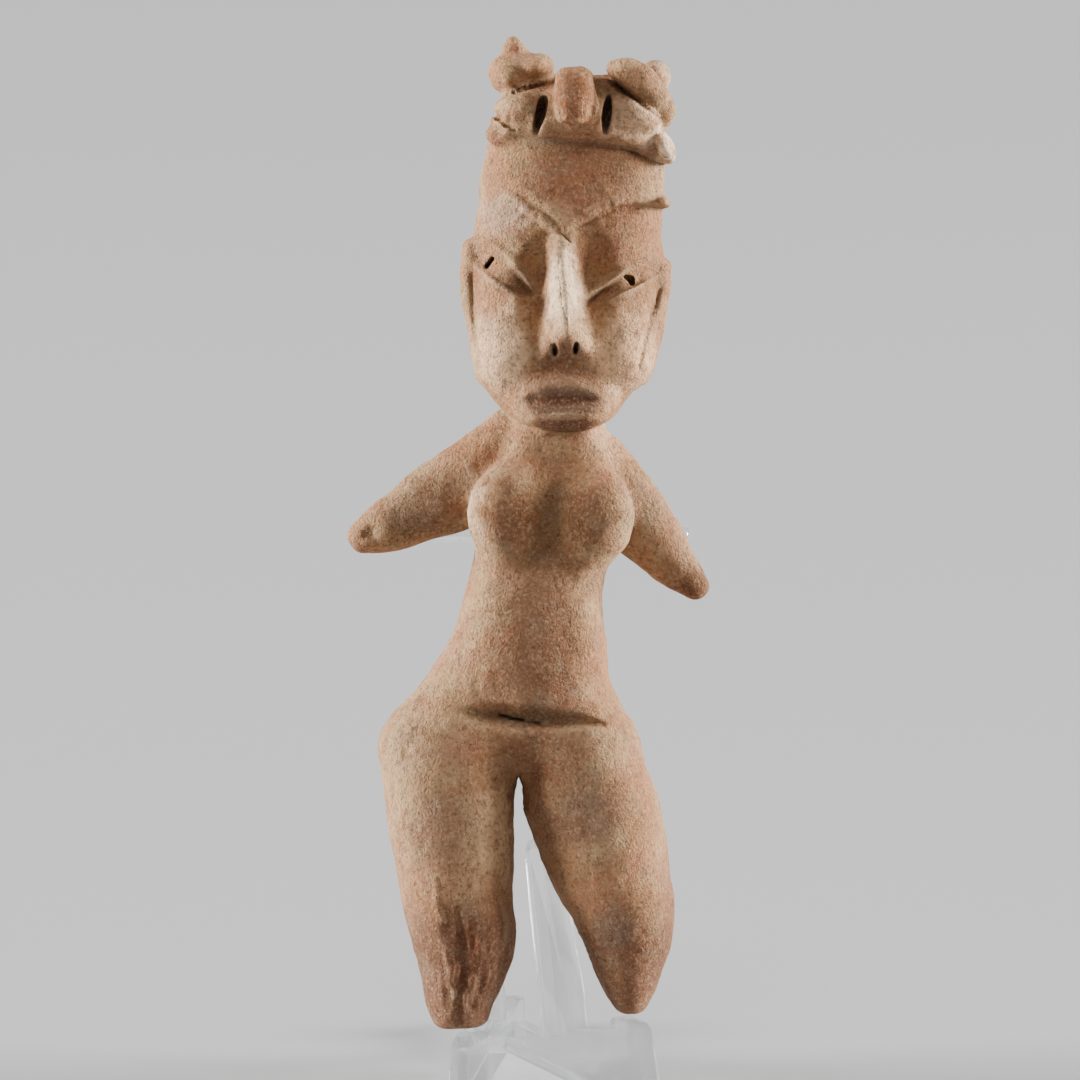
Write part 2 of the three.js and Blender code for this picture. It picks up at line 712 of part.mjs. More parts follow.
const skinGeometry = ({ points, faces }) => {
  const order = new Map();
  const positions = [];
  const index = faces.flat().map((n) => {
    if (!order.has(n)) {
      order.set(n, order.size);
      positions.push(...points[n]);
    }
    return order.get(n);
  });
  const geometry = new THREE.BufferGeometry();
  geometry.setAttribute('position', new THREE.Float32BufferAttribute(positions, 3));
  geometry.setIndex(index);
  return geometry;
};

// Pieces and their materials
const CLAY = { color: 0xb58a6b, roughness: 0.85, metalness: 0 };
const ACRYLIC = { color: 0xe8eef0, roughness: 0.08, metalness: 0 };
const makePiece = (name, geometry, finish) => {
  const mesh = new THREE.Mesh(geometry, new THREE.MeshStandardMaterial(finish));
  mesh.name = name;
  return mesh;
};

// The figurine is worked out upright, then leans back about its feet
const GRID_SIDE = 30;
const GRID_FRONT = -19;
const GRID_BACK = 17;
const GRID_BOTTOM = -2;
const GRID_TOP = 154;
const placeFigurine = () => {
  const skin = skinForm(makeFigurine(), [
    gridLine(-GRID_SIDE, GRID_SIDE, CLAY_CELL),
    gridLine(GRID_FRONT, GRID_BACK, CLAY_CELL),
    [
      ...gridLine(GRID_BOTTOM, HEAD_BOTTOM, BODY_CELL_HEIGHT).slice(0, -1),
      ...gridLine(HEAD_BOTTOM, GRID_TOP, CLAY_CELL),
    ],
  ]);
  const mesh = makePiece('figurine', skinGeometry(thinSkin(skin, CLAY_TRIANGLES)), CLAY);
  mesh.rotation.x = -radians(LEAN);
  mesh.position.z = FOOT_HEIGHT;
  return mesh;
};

// A stand plate: a profile in [back, up] of clear sheet, upright on the floor and turned in plan
const placePlate = (name, profile, foot, turn) => {
  const sheet = { depth: SHEET, bevelEnabled: false, curveSegments: ARC_STEPS };
  const geometry = new THREE.ExtrudeGeometry(profile, sheet);
  geometry.translate(0, 0, -SHEET / 2);
  const mesh = makePiece(name, geometry, ACRYLIC);
  mesh.rotation.x = Math.PI / 2;
  const holder = new THREE.Group();
  holder.rotation.z = Math.PI / 2 - radians(turn);
  holder.position.set(foot[0], foot[1], 0);
  holder.add(mesh);
  return holder;
};

// Add a rounded corner to a profile: middle of its circle, radius, and the angles it runs through
const roundCorner = (shape, { back, up, radius, from = 0, to = Math.PI / 2 }, clockwise = false) => {
  shape.absarc(back, up, radius, from, to, clockwise);
};

// Where the two plates cross in plan, and how wide a slot has to be to let the other sheet through
const RIGHT_FOOT = [15.8, -2];
const LEFT_FOOT = [-9.8, -2.5];
const RIGHT_TURN = -26;
const LEFT_TURN = 8;
const crossingAlong = (foot, turn, otherFoot, otherTurn) => {
  const dx = otherFoot[0] - foot[0];
  const dy = otherFoot[1] - foot[1];
  const area = Math.sin(radians(turn - otherTurn));
  return (dx * -Math.cos(radians(otherTurn)) + dy * Math.sin(radians(otherTurn))) / -area;
};
const CROSS_ANGLE = radians(LEFT_TURN - RIGHT_TURN);
const SLOT_HALF = (SHEET / Math.tan(CROSS_ANGLE) + (SHEET + 2 * GAP) / Math.sin(CROSS_ANGLE)) / 2;
const SLOT_LEVEL = BAR_HEIGHT / 2;

// Both plates start at a low toe; back is counted from the foot tip
const TOE = { back: -8, up: 2 };
const KNOB_FRONT = { back: -2, radius: 3, from: Math.PI / 2, to: Math.PI - 0.4 };
const END_RADIUS = 2;
const barEnd = (back) => ({ back: back - END_RADIUS, up: BAR_HEIGHT - END_RADIUS, radius: END_RADIUS });

// Right plate: a knob under the foot tip, a ledge that falls away behind it, and a short leaning upright
const RIGHT_END = 57;
const RIGHT_KNOB = { back: 2.6, up: 11.9, radius: 2 };
const RIGHT_KNOB_FRONT = { ...KNOB_FRONT, up: 10.9 };
const RIGHT_UPRIGHT_FOOT = 28;
const RIGHT_UPRIGHT_BACK = { back: 34.3, up: 31.8 };
const RIGHT_UPRIGHT_TOP = { back: 30.9, up: 32.6, radius: 3.5, from: -0.23, to: Math.PI - 0.52 };
const RIGHT_LEDGE = [
  [19.2, 14.5],
  [18, 8.6],
  [4.6, 11.6],
  [4.6, 11.9],
];
const placeRightPlate = () => {
  const slot = crossingAlong(RIGHT_FOOT, RIGHT_TURN, LEFT_FOOT, LEFT_TURN);
  const shape = new THREE.Shape();
  shape.moveTo(TOE.back, 0);
  shape.lineTo(RIGHT_END, 0);
  shape.lineTo(RIGHT_END, BAR_HEIGHT - END_RADIUS);
  roundCorner(shape, barEnd(RIGHT_END));
  shape.lineTo(slot + SLOT_HALF, BAR_HEIGHT);
  shape.lineTo(slot + SLOT_HALF, SLOT_LEVEL - GAP / 2);
  shape.lineTo(slot - SLOT_HALF, SLOT_LEVEL - GAP / 2);
  shape.lineTo(slot - SLOT_HALF, BAR_HEIGHT);
  shape.lineTo(RIGHT_UPRIGHT_FOOT, BAR_HEIGHT);
  shape.lineTo(RIGHT_UPRIGHT_BACK.back, RIGHT_UPRIGHT_BACK.up);
  roundCorner(shape, RIGHT_UPRIGHT_TOP);
  RIGHT_LEDGE.forEach(([back, up]) => shape.lineTo(back, up));
  roundCorner(shape, RIGHT_KNOB);
  shape.lineTo(KNOB_FRONT.back, RIGHT_KNOB_FRONT.up + KNOB_FRONT.radius);
  roundCorner(shape, RIGHT_KNOB_FRONT);
  shape.lineTo(TOE.back, TOE.up);
  return placePlate('right_stand_plate', shape, RIGHT_FOOT, RIGHT_TURN);
};

// Left plate: a knob under the foot tip and a tall upright behind the back, its top cupped for the rod
const ROD_BACK = 27.6;
const ROD_HEIGHT = 84.4;
const LEFT_END = 56;
const LEFT_KNOB = { back: 3.3, up: 9.6, radius: 1.7 };
const LEFT_KNOB_FRONT = { ...KNOB_FRONT, up: 8.3 };
const LEFT_UPRIGHT_BACK = [
  [36, BAR_HEIGHT],
  [32, 16],
];
const LEFT_UPRIGHT_FRONT = [
  [24.6, 16],
  [20, 7.5],
  [5, 8.6],
  [5, 9.6],
];
const CUP_RADIUS = ROD_RADIUS + 1.6 * GAP;
const CUP_LIP = 0.4;
const CUP_BACK = { back: ROD_BACK + CUP_RADIUS, up: ROD_HEIGHT - 1.6, radius: 1.6 };
const placeLeftPlate = () => {
  const slot = crossingAlong(LEFT_FOOT, LEFT_TURN, RIGHT_FOOT, RIGHT_TURN);
  const cup = { back: ROD_BACK, up: ROD_HEIGHT, radius: CUP_RADIUS, to: Math.PI };
  const shape = new THREE.Shape();
  shape.moveTo(TOE.back, 0);
  shape.lineTo(slot - SLOT_HALF, 0);
  shape.lineTo(slot - SLOT_HALF, SLOT_LEVEL + GAP / 2);
  shape.lineTo(slot + SLOT_HALF, SLOT_LEVEL + GAP / 2);
  shape.lineTo(slot + SLOT_HALF, 0);
  shape.lineTo(LEFT_END, 0);
  shape.lineTo(LEFT_END, BAR_HEIGHT - END_RADIUS);
  roundCorner(shape, barEnd(LEFT_END));
  LEFT_UPRIGHT_BACK.forEach(([back, up]) => shape.lineTo(back, up));
  shape.lineTo(CUP_BACK.back + CUP_BACK.radius, CUP_BACK.up);
  roundCorner(shape, CUP_BACK);
  roundCorner(shape, cup, true);
  shape.lineTo(ROD_BACK - CUP_RADIUS - CUP_LIP, ROD_HEIGHT);
  LEFT_UPRIGHT_FRONT.forEach(([back, up]) => shape.lineTo(back, up));
  roundCorner(shape, LEFT_KNOB);
  shape.lineTo(KNOB_FRONT.back, LEFT_KNOB_FRONT.up + KNOB_FRONT.radius);
  roundCorner(shape, LEFT_KNOB_FRONT);
  shape.lineTo(TOE.back, TOE.up);
  return placePlate('left_stand_plate', shape, LEFT_FOOT, LEFT_TURN);
};

// Rod behind the arms, with rounded ends, lying in the cup of the left plate
const ROD_START = -15.8;
const ROD_END = 24.9;
const placeRod = () => {
  const length = ROD_END - ROD_START;
  const profile = [new THREE.Vector2(0, 0)];
  for (let step = 1; step < ARC_STEPS; step += 1) {
    const angle = (Math.PI / 2) * (step / ARC_STEPS);
    profile.push(new THREE.Vector2(ROD_RADIUS * Math.sin(angle), ROD_RADIUS * (1 - Math.cos(angle))));
  }
  const ends = [...profile].reverse().map((point) => new THREE.Vector2(point.x, length - point.y));
  const middle = [ROD_RADIUS, length - ROD_RADIUS].map((along) => new THREE.Vector2(ROD_RADIUS, along));
  const geometry = new THREE.LatheGeometry([...profile, ...middle, ...ends], ROD_SIDES);
  const mesh = makePiece('cross_rod', geometry, ACRYLIC);
  const behind = LEFT_FOOT[1] + ROD_BACK * Math.cos(radians(LEFT_TURN));
  mesh.rotation.z = -Math.PI / 2;
  mesh.position.set(ROD_START, behind, ROD_HEIGHT);
  return mesh;
};

// The origin is on the floor under the middle of the whole part
const placed = new THREE.Group();
placed.add(placeFigurine(), placeRightPlate(), placeLeftPlate(), placeRod());
const extent = new THREE.Box3().setFromObject(placed, true);
const centre = extent.getCenter(new THREE.Vector3());
placed.position.set(-centre.x, -centre.y, -extent.min.z);

const part = new THREE.Group();
part.name = 'tlatilco_figurine';
part.add(placed);

export default part;
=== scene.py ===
"""Dressed model of a small hand-modelled clay figurine on a clear acrylic stand.

The figurine is made the way a hand modeller makes one: rolls and balls of clay are joined,
a tool presses marks, and weather wears the surface. Lengths are millimetres in the figurine's own
upright frame, which faces -Y, until a mesh is made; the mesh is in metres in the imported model's frame.
"""

from __future__ import annotations

import json
import logging
import math
from dataclasses import dataclass, field
from enum import Enum
from typing import Sequence

import bmesh
import bpy
import numpy as np
from mathutils import Euler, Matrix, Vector

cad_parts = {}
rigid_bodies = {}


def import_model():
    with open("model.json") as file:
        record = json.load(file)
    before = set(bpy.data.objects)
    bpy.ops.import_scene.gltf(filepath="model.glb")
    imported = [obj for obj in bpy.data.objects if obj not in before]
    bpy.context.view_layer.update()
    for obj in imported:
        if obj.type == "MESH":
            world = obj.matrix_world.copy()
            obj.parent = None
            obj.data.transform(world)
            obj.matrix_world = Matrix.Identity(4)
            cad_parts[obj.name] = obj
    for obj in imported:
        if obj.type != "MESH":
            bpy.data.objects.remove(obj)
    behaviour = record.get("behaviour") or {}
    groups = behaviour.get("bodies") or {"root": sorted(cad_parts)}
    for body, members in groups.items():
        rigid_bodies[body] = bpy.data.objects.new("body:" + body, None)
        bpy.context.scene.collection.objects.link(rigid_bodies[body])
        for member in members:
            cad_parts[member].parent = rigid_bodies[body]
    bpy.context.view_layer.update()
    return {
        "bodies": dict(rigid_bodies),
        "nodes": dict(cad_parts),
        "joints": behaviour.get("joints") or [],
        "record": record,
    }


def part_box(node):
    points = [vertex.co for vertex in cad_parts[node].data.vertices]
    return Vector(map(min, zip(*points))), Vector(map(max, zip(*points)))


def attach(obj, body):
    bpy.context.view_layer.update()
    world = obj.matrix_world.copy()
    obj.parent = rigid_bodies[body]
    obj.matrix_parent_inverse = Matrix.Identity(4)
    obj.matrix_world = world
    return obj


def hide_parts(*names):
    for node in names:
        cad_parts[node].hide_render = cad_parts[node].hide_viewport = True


LOG = logging.getLogger("figurine")
MILLIMETRE = 0.001
# A mark on the front reaches back to this Y, in mm
FRONT_ONLY = -4.0
# Reaches past the figurine on either side, in mm
FAR = 60.0
# One step along X, along Y and along Z
UNITS = np.eye(3, dtype=int)
# Grid lines in one step of the coarse grid
BLOCK = 4
# Large odd numbers that stir a grid cell's place, its seed and their sum into a random value
STIR = (73856093, 19349663, 83492791, 2654435761, 1274126177)

Station = Sequence[float]
Box = tuple[np.ndarray, np.ndarray]
Tree = bpy.types.NodeTree
Socket = bpy.types.NodeSocket


def blend(a: np.ndarray, b: np.ndarray, soft: float) -> np.ndarray:
    """Smaller of two distances, with a fillet where they meet.

    Args:
        a: Distances to one form, in mm.
        b: Distances to the other form, in mm.
        soft: Reach of the fillet in mm.

    Returns:
        Distances to both forms together.
    """
    near = np.maximum(soft - np.abs(a - b), 0.0) / soft
    return np.minimum(a, b) - near * near * soft * 0.25


def turned(x: np.ndarray, z: np.ndarray, degrees: float) -> tuple[np.ndarray, np.ndarray]:
    """Read places in the front plane along axes that are turned from +X towards +Z.

    Args:
        x: Places along X, in mm.
        z: Places along Z, in mm.
        degrees: How far the axes are turned.

    Returns:
        The places along the turned X and the turned Z.
    """
    cosine, sine = math.cos(math.radians(degrees)), math.sin(math.radians(degrees))
    return x * cosine + z * sine, z * cosine - x * sine


def segment_distance(
    points: np.ndarray, start: Station, end: Station, squeeze: np.ndarray | float = 1.0
) -> np.ndarray:
    """Measure from a straight piece whose radius runs evenly from one end to the other.

    Args:
        points: Places in mm.
        start: The piece's first end, and its radius there as the last value.
        end: The piece's other end, and its radius there as the last value.
        squeeze: What every length is multiplied by, along each axis.

    Returns:
        Distance of each place from the piece's side, in mm.
    """
    a, b = np.array(start[:-1]), np.array(end[:-1])
    q, u = (points - a) * squeeze, (b - a) * squeeze
    t = np.clip(q @ u / (u @ u), 0, 1)
    return np.linalg.norm(q - t[:, None] * u, axis=1) - (start[-1] + t * (end[-1] - start[-1]))


@dataclass(frozen=True)
class SmoothCurve:
    """Smooth values between stations, each a list that starts with its place along the axis."""

    stations: Sequence[Station]

    def at(self, place: np.ndarray) -> list[np.ndarray]:
        """Read the curve.

        Args:
            place: Places along the axis in mm; places past an end read as the end.

        Returns:
            One array for each value that a station holds after its place.
        """
        table = np.array(sorted(self.stations), float)
        ends, values = table[:, 0], table[:, 1:]
        run = np.diff(ends)
        slope = np.diff(values, axis=0) / run[:, None]
        tangent = np.empty_like(values)
        tangent[0], tangent[-1] = slope[0], slope[-1]
        after, before = run[1:, None], run[:-1, None]
        tangent[1:-1] = (slope[:-1] * after + slope[1:] * before) / (after + before)
        t = np.clip(place, ends[0], ends[-1])
        i = np.clip(np.searchsorted(ends, t, side="right") - 1, 0, len(ends) - 2)
        u = (t - ends[i]) / run[i]
        uu, uuu = u * u, u * u * u
        start, end = 2 * uuu - 3 * uu + 1, 3 * uu - 2 * uuu
        leave, arrive = (uuu - 2 * uu + u) * run[i], (uuu - uu) * run[i]
        columns = zip(values[i].T, values[i + 1].T, tangent[i].T, tangent[i + 1].T)
        return [start * a + end * b + leave * c + arrive * d for a, b, c, d in columns]


class Form:
    """A shape known by its distance from points, negative inside, and by the box it lies in."""

    def distance(self, points: np.ndarray) -> np.ndarray:
        """Distance of each point from the surface, in mm."""
        raise NotImplementedError

    def box(self) -> Box:
        """Lowest and highest corner of the shape, in mm."""
        raise NotImplementedError


@dataclass(frozen=True)
class Roll(Form):
    """A rolled form along an axis in the front plane.

    Stations are (along, across, half width, y, half depth). A section is an ellipse at box_shape 2
    and a rounded square at 0, and the ends are rounded by low and high.
    """

    stations: Sequence[Station]
    box_shape: float
    low: float
    high: float
    origin: tuple[float, float] = (0.0, 0.0)
    turn: float = 0.0

    def distance(self, points: np.ndarray) -> np.ndarray:
        """Measure how far places lie from the roll.

        Args:
            points: Places in mm.

        Returns:
            Their distances, in mm, negative inside.
        """
        aside, along = turned(points[:, 0] - self.origin[0], points[:, 2] - self.origin[1], -self.turn)
        across, half_width, middle, half_depth = SmoothCurve(self.stations).at(along)
        u, v = (aside - across) / half_width, (points[:, 1] - middle) / half_depth
        uu, vv = u * u, v * v
        size = np.sqrt(np.sqrt(uu * uu + vv * vv + self.box_shape * uu * vv + 1e-12))
        scale = 1 / (4 * size**3 + 1e-9)
        slope_u = (4 * u * uu + 2 * self.box_shape * u * vv) * scale / half_width
        slope_v = (4 * v * vv + 2 * self.box_shape * v * uu) * scale / half_depth
        side = (size - 1) / (np.hypot(slope_u, slope_v) + 1e-6)
        places = [station[0] for station in self.stations]
        d = -blend(-side, along - min(places), self.low)
        return -blend(-d, max(places) - along, self.high)

    def box(self) -> Box:
        """Find the box that the roll lies in.

        Returns:
            Its lowest and highest corner, in mm.
        """
        corners = []
        for along, across, half_width, middle, half_depth in self.stations:
            for aside in (across - half_width, across + half_width):
                x, z = turned(aside, along, self.turn)
                for y in (middle - half_depth, middle + half_depth):
                    corners.append((self.origin[0] + x, y, self.origin[1] + z))
        return np.min(corners, axis=0), np.max(corners, axis=0)


@dataclass(frozen=True)
class Ball(Form):
    """A pressed-on ball of clay with three radii; roll lifts its +X end, in degrees."""

    centre: tuple[float, float, float]
    radii: tuple[float, float, float]
    roll: float = 0.0

    def distance(self, points: np.ndarray) -> np.ndarray:
        """Measure how far places lie from the ball.

        Args:
            points: Places in mm.

        Returns:
            Their distances, in mm, negative inside.
        """
        x, y, z = (points - np.array(self.centre)).T
        u, v = turned(x, z, self.roll)
        place, radii = np.stack((u, y, v)), np.array(self.radii)[:, None]
        near = np.sqrt(((place / radii) ** 2).sum(0)) + 1e-9
        far = np.sqrt(((place / radii**2) ** 2).sum(0)) + 1e-9
        return near * (near - 1) / far

    def box(self) -> Box:
        """Find a box that the ball lies in.

        Returns:
            Its lowest and highest corner, in mm.
        """
        wide = max(self.radii[0], self.radii[2])
        reach = np.array((wide, self.radii[1], wide))
        return np.array(self.centre) - reach, np.array(self.centre) + reach


@dataclass(frozen=True)
class Coil(Form):
    """A roll of clay, or a tool mark, through (x, y, z, radius).

    Flat stretches it along Y, and soft rounds the bends where its straight pieces meet.
    """

    points: Sequence[Station]
    flat: float = 1.0
    soft: float = 0.0

    def distance(self, points: np.ndarray) -> np.ndarray:
        """Measure how far places lie from the coil.

        Args:
            points: Places in mm.

        Returns:
            Their distances, in mm, negative inside.
        """
        squeeze = np.array((1.0, 1.0 / self.flat, 1.0))
        best = None
        for start, end in zip(self.points[:-1], self.points[1:]):
            d = segment_distance(points, start, end, squeeze)
            if best is None:
                best = d
            else:
                best = blend(best, d, self.soft) if self.soft else np.minimum(best, d)
        return best

    def box(self) -> Box:
        """Find a box that the coil lies in.

        Returns:
            Its lowest and highest corner, in mm.
        """
        table = np.array(self.points)
        reach = table[:, 3].max() * np.array((1.0, self.flat, 1.0))
        return table[:, :3].min(0) - reach, table[:, :3].max(0) + reach


@dataclass(frozen=True)
class Leaf(Form):
    """A leaf outline on the front: middle of its chord, half length, bulge up and down, roll, growth."""

    middle: tuple[float, float]
    half: float
    up: float
    down: float
    roll: float = 0.0
    grow: float = 0.0

    def distance(self, points: np.ndarray) -> np.ndarray:
        """Measure how far places lie from the leaf's outline.

        Args:
            points: Places in mm.

        Returns:
            Their distances, in mm, negative inside.
        """
        u, v = turned(points[:, 0] - self.middle[0], points[:, 2] - self.middle[1], self.roll)
        upper = (self.half**2 + self.up**2) / (2 * self.up)
        lower = (self.half**2 + self.down**2) / (2 * self.down)
        top = np.hypot(u, v + upper - self.up) - upper
        outline = np.maximum(top, np.hypot(u, v - lower + self.down) - lower) - self.grow
        return np.maximum(outline, points[:, 1] - FRONT_ONLY)

    def box(self) -> Box:
        """Find a box that the leaf lies in.

        Returns:
            Its lowest and highest corner, in mm.
        """
        reach = self.half + self.grow
        x, z = self.middle
        return np.array((x - reach, -FAR, z - reach)), np.array((x + reach, FRONT_ONLY, z + reach))


@dataclass(frozen=True)
class Band(Form):
    """A band of the given half width on the front, through marks (x, z, half width)."""

    marks: Sequence[Station]

    def distance(self, points: np.ndarray) -> np.ndarray:
        """Measure how far places lie from the band's edge.

        Args:
            points: Places in mm.

        Returns:
            Their distances, in mm, negative inside.
        """
        best = np.full(len(points), FAR)
        for start, end in zip(self.marks[:-1], self.marks[1:]):
            best = np.minimum(best, segment_distance(points[:, (0, 2)], start, end))
        return np.maximum(best, points[:, 1] - FRONT_ONLY)

    def box(self) -> Box:
        """Find a box that the band lies in.

        Returns:
            Its lowest and highest corner, in mm.
        """
        table = np.array(self.marks)
        reach = table[:, 2].max()
        low, high = table[:, :2].min(0) - reach, table[:, :2].max(0) + reach
        return np.array((low[0], -FAR, low[1])), np.array((high[0], FRONT_ONLY, high[1]))


@dataclass(frozen=True)
class Above(Form):
    """Everything over a line through marks (x, z) on the front, which runs straight round the back.

    The line changes from one to the other over the depth of the turn, in mm, and a slanting line lies
    nearer than the height over it, by a share.
    """

    marks: Sequence[Station]
    turn: float = 4.0
    share: float = 0.9

    def distance(self, points: np.ndarray) -> np.ndarray:
        """Measure how far places lie under the line.

        Args:
            points: Places in mm.

        Returns:
            Their distances, in mm, negative over it.
        """
        (line,) = SmoothCurve(self.marks).at(points[:, 0])
        (back_line,) = SmoothCurve((self.marks[0], self.marks[-1])).at(points[:, 0])
        behind = np.clip(0.5 + points[:, 1] / self.turn, 0, 1)
        return (line + (back_line - line) * behind - points[:, 2]) * self.share

    def box(self) -> Box:
        """Lowest and highest corner of the part over the line, in mm."""
        lowest = min(mark[1] for mark in self.marks)
        return np.array((-FAR, -FAR, lowest)), np.array((FAR, FAR, lowest + 4 * FAR))


class Work(Enum):
    """What the maker does with a form."""

    JOIN = "join it on"
    PRESS = "press it in"
    RAISE = "lay a thin layer inside it"
    SINK = "sink the surface inside it"


@dataclass(frozen=True)
class Step:
    """One step of the modelling, with the softness of its edge and the height of a layer, in mm."""

    work: Work
    form: Form
    soft: float
    height: float = 0.0


@dataclass
class Clay(Form):
    """Clay worked in steps from a first form.

    A step reaches only a margin past its own form, and the foot of a layer is sharper than its edge.
    """

    base: Form
    steps: list[Step] = field(default_factory=list)
    margin: float = 3.5
    foot_share: float = 0.6

    def join(self, soft: float, *forms: Form) -> Clay:
        """Join forms on with a fillet of the given reach, and return the clay."""
        self.steps += [Step(Work.JOIN, form, soft) for form in forms]
        return self

    def press(self, soft: float, *forms: Form) -> Clay:
        """Press forms in with an edge of the given softness, and return the clay."""
        self.steps += [Step(Work.PRESS, form, soft) for form in forms]
        return self

    def layer(self, height: float, soft: float, *masks: Form) -> Clay:
        """Raise the surface inside the masks by a height, and return the clay."""
        self.steps += [Step(Work.RAISE, mask, soft, height) for mask in masks]
        return self

    def sink(self, depth: float, soft: float, *masks: Form) -> Clay:
        """Lower the surface inside the masks by a depth, and return the clay."""
        self.steps += [Step(Work.SINK, mask, soft, depth) for mask in masks]
        return self

    def distance(self, points: np.ndarray) -> np.ndarray:
        """Measure how far places lie from the worked clay.

        Args:
            points: Places in mm.

        Returns:
            Their distances, in mm, negative inside.
        """
        d = self.base.distance(points)
        for step in self.steps:
            low, high = step.form.box()
            reach = self.margin + step.soft
            near = np.all((points > low - reach) & (points < high + reach), axis=1)
            if not near.any():
                continue
            here, other = d[near], step.form.distance(points[near])
            if step.work is Work.JOIN:
                d[near] = blend(here, other, step.soft)
            elif step.work is Work.PRESS:
                d[near] = -blend(-here, other, step.soft)
            elif step.work is Work.RAISE:
                sheet = -blend(-other, step.height - here, step.soft)
                d[near] = blend(here, sheet, step.soft * self.foot_share)
            else:
                floor = blend(-other, here + step.height, step.soft)
                d[near] = -blend(-here, -floor, step.soft * self.foot_share)
        return d

    def box(self) -> Box:
        """Lowest and highest corner of the worked clay, in mm."""
        boxes = [self.base.box()] + [step.form.box() for step in self.steps if step.work is Work.JOIN]
        return np.min([low for low, _ in boxes], axis=0), np.max([high for _, high in boxes], axis=0)


def cloud(points: np.ndarray, size: float, seed: int) -> np.ndarray:
    """Smooth random values, the same in each run.

    Args:
        points: Places in mm.
        size: Distance between one lump and the next, in mm.
        seed: Number that tells one pattern from another.

    Returns:
        One value from -1 to 1 for each place.
    """
    scaled = points / size + seed * 17.13
    cell = np.floor(scaled).astype(np.int64)
    part = scaled - cell
    part = part * part * (3 - 2 * part)
    total = np.zeros(len(points))
    for corner in np.ndindex(2, 2, 2):
        x, y, z = (cell + np.array(corner)).T
        mixed = (x * STIR[0]) ^ (y * STIR[1]) ^ (z * STIR[2]) ^ (seed * STIR[3])
        mixed = (mixed ^ (mixed >> 13)) * STIR[4] & 0x7FFFFFFF
        value = ((mixed ^ (mixed >> 16)) & 0xFFFF) / 32767.5 - 1
        weight = np.prod(np.where(np.array(corner) == 1, part, 1 - part), axis=1)
        total += weight * value
    return total


def cell_corner(corner: Sequence[int], count: Sequence[int]) -> tuple[slice, ...]:
    """Pick the grid points at one corner of every cell.

    Args:
        corner: 0 or 1 along each axis.
        count: Number of grid points along each axis.

    Returns:
        The slices that pick them.
    """
    return tuple(slice(c, c + n - 1) for c, n in zip(corner, count))


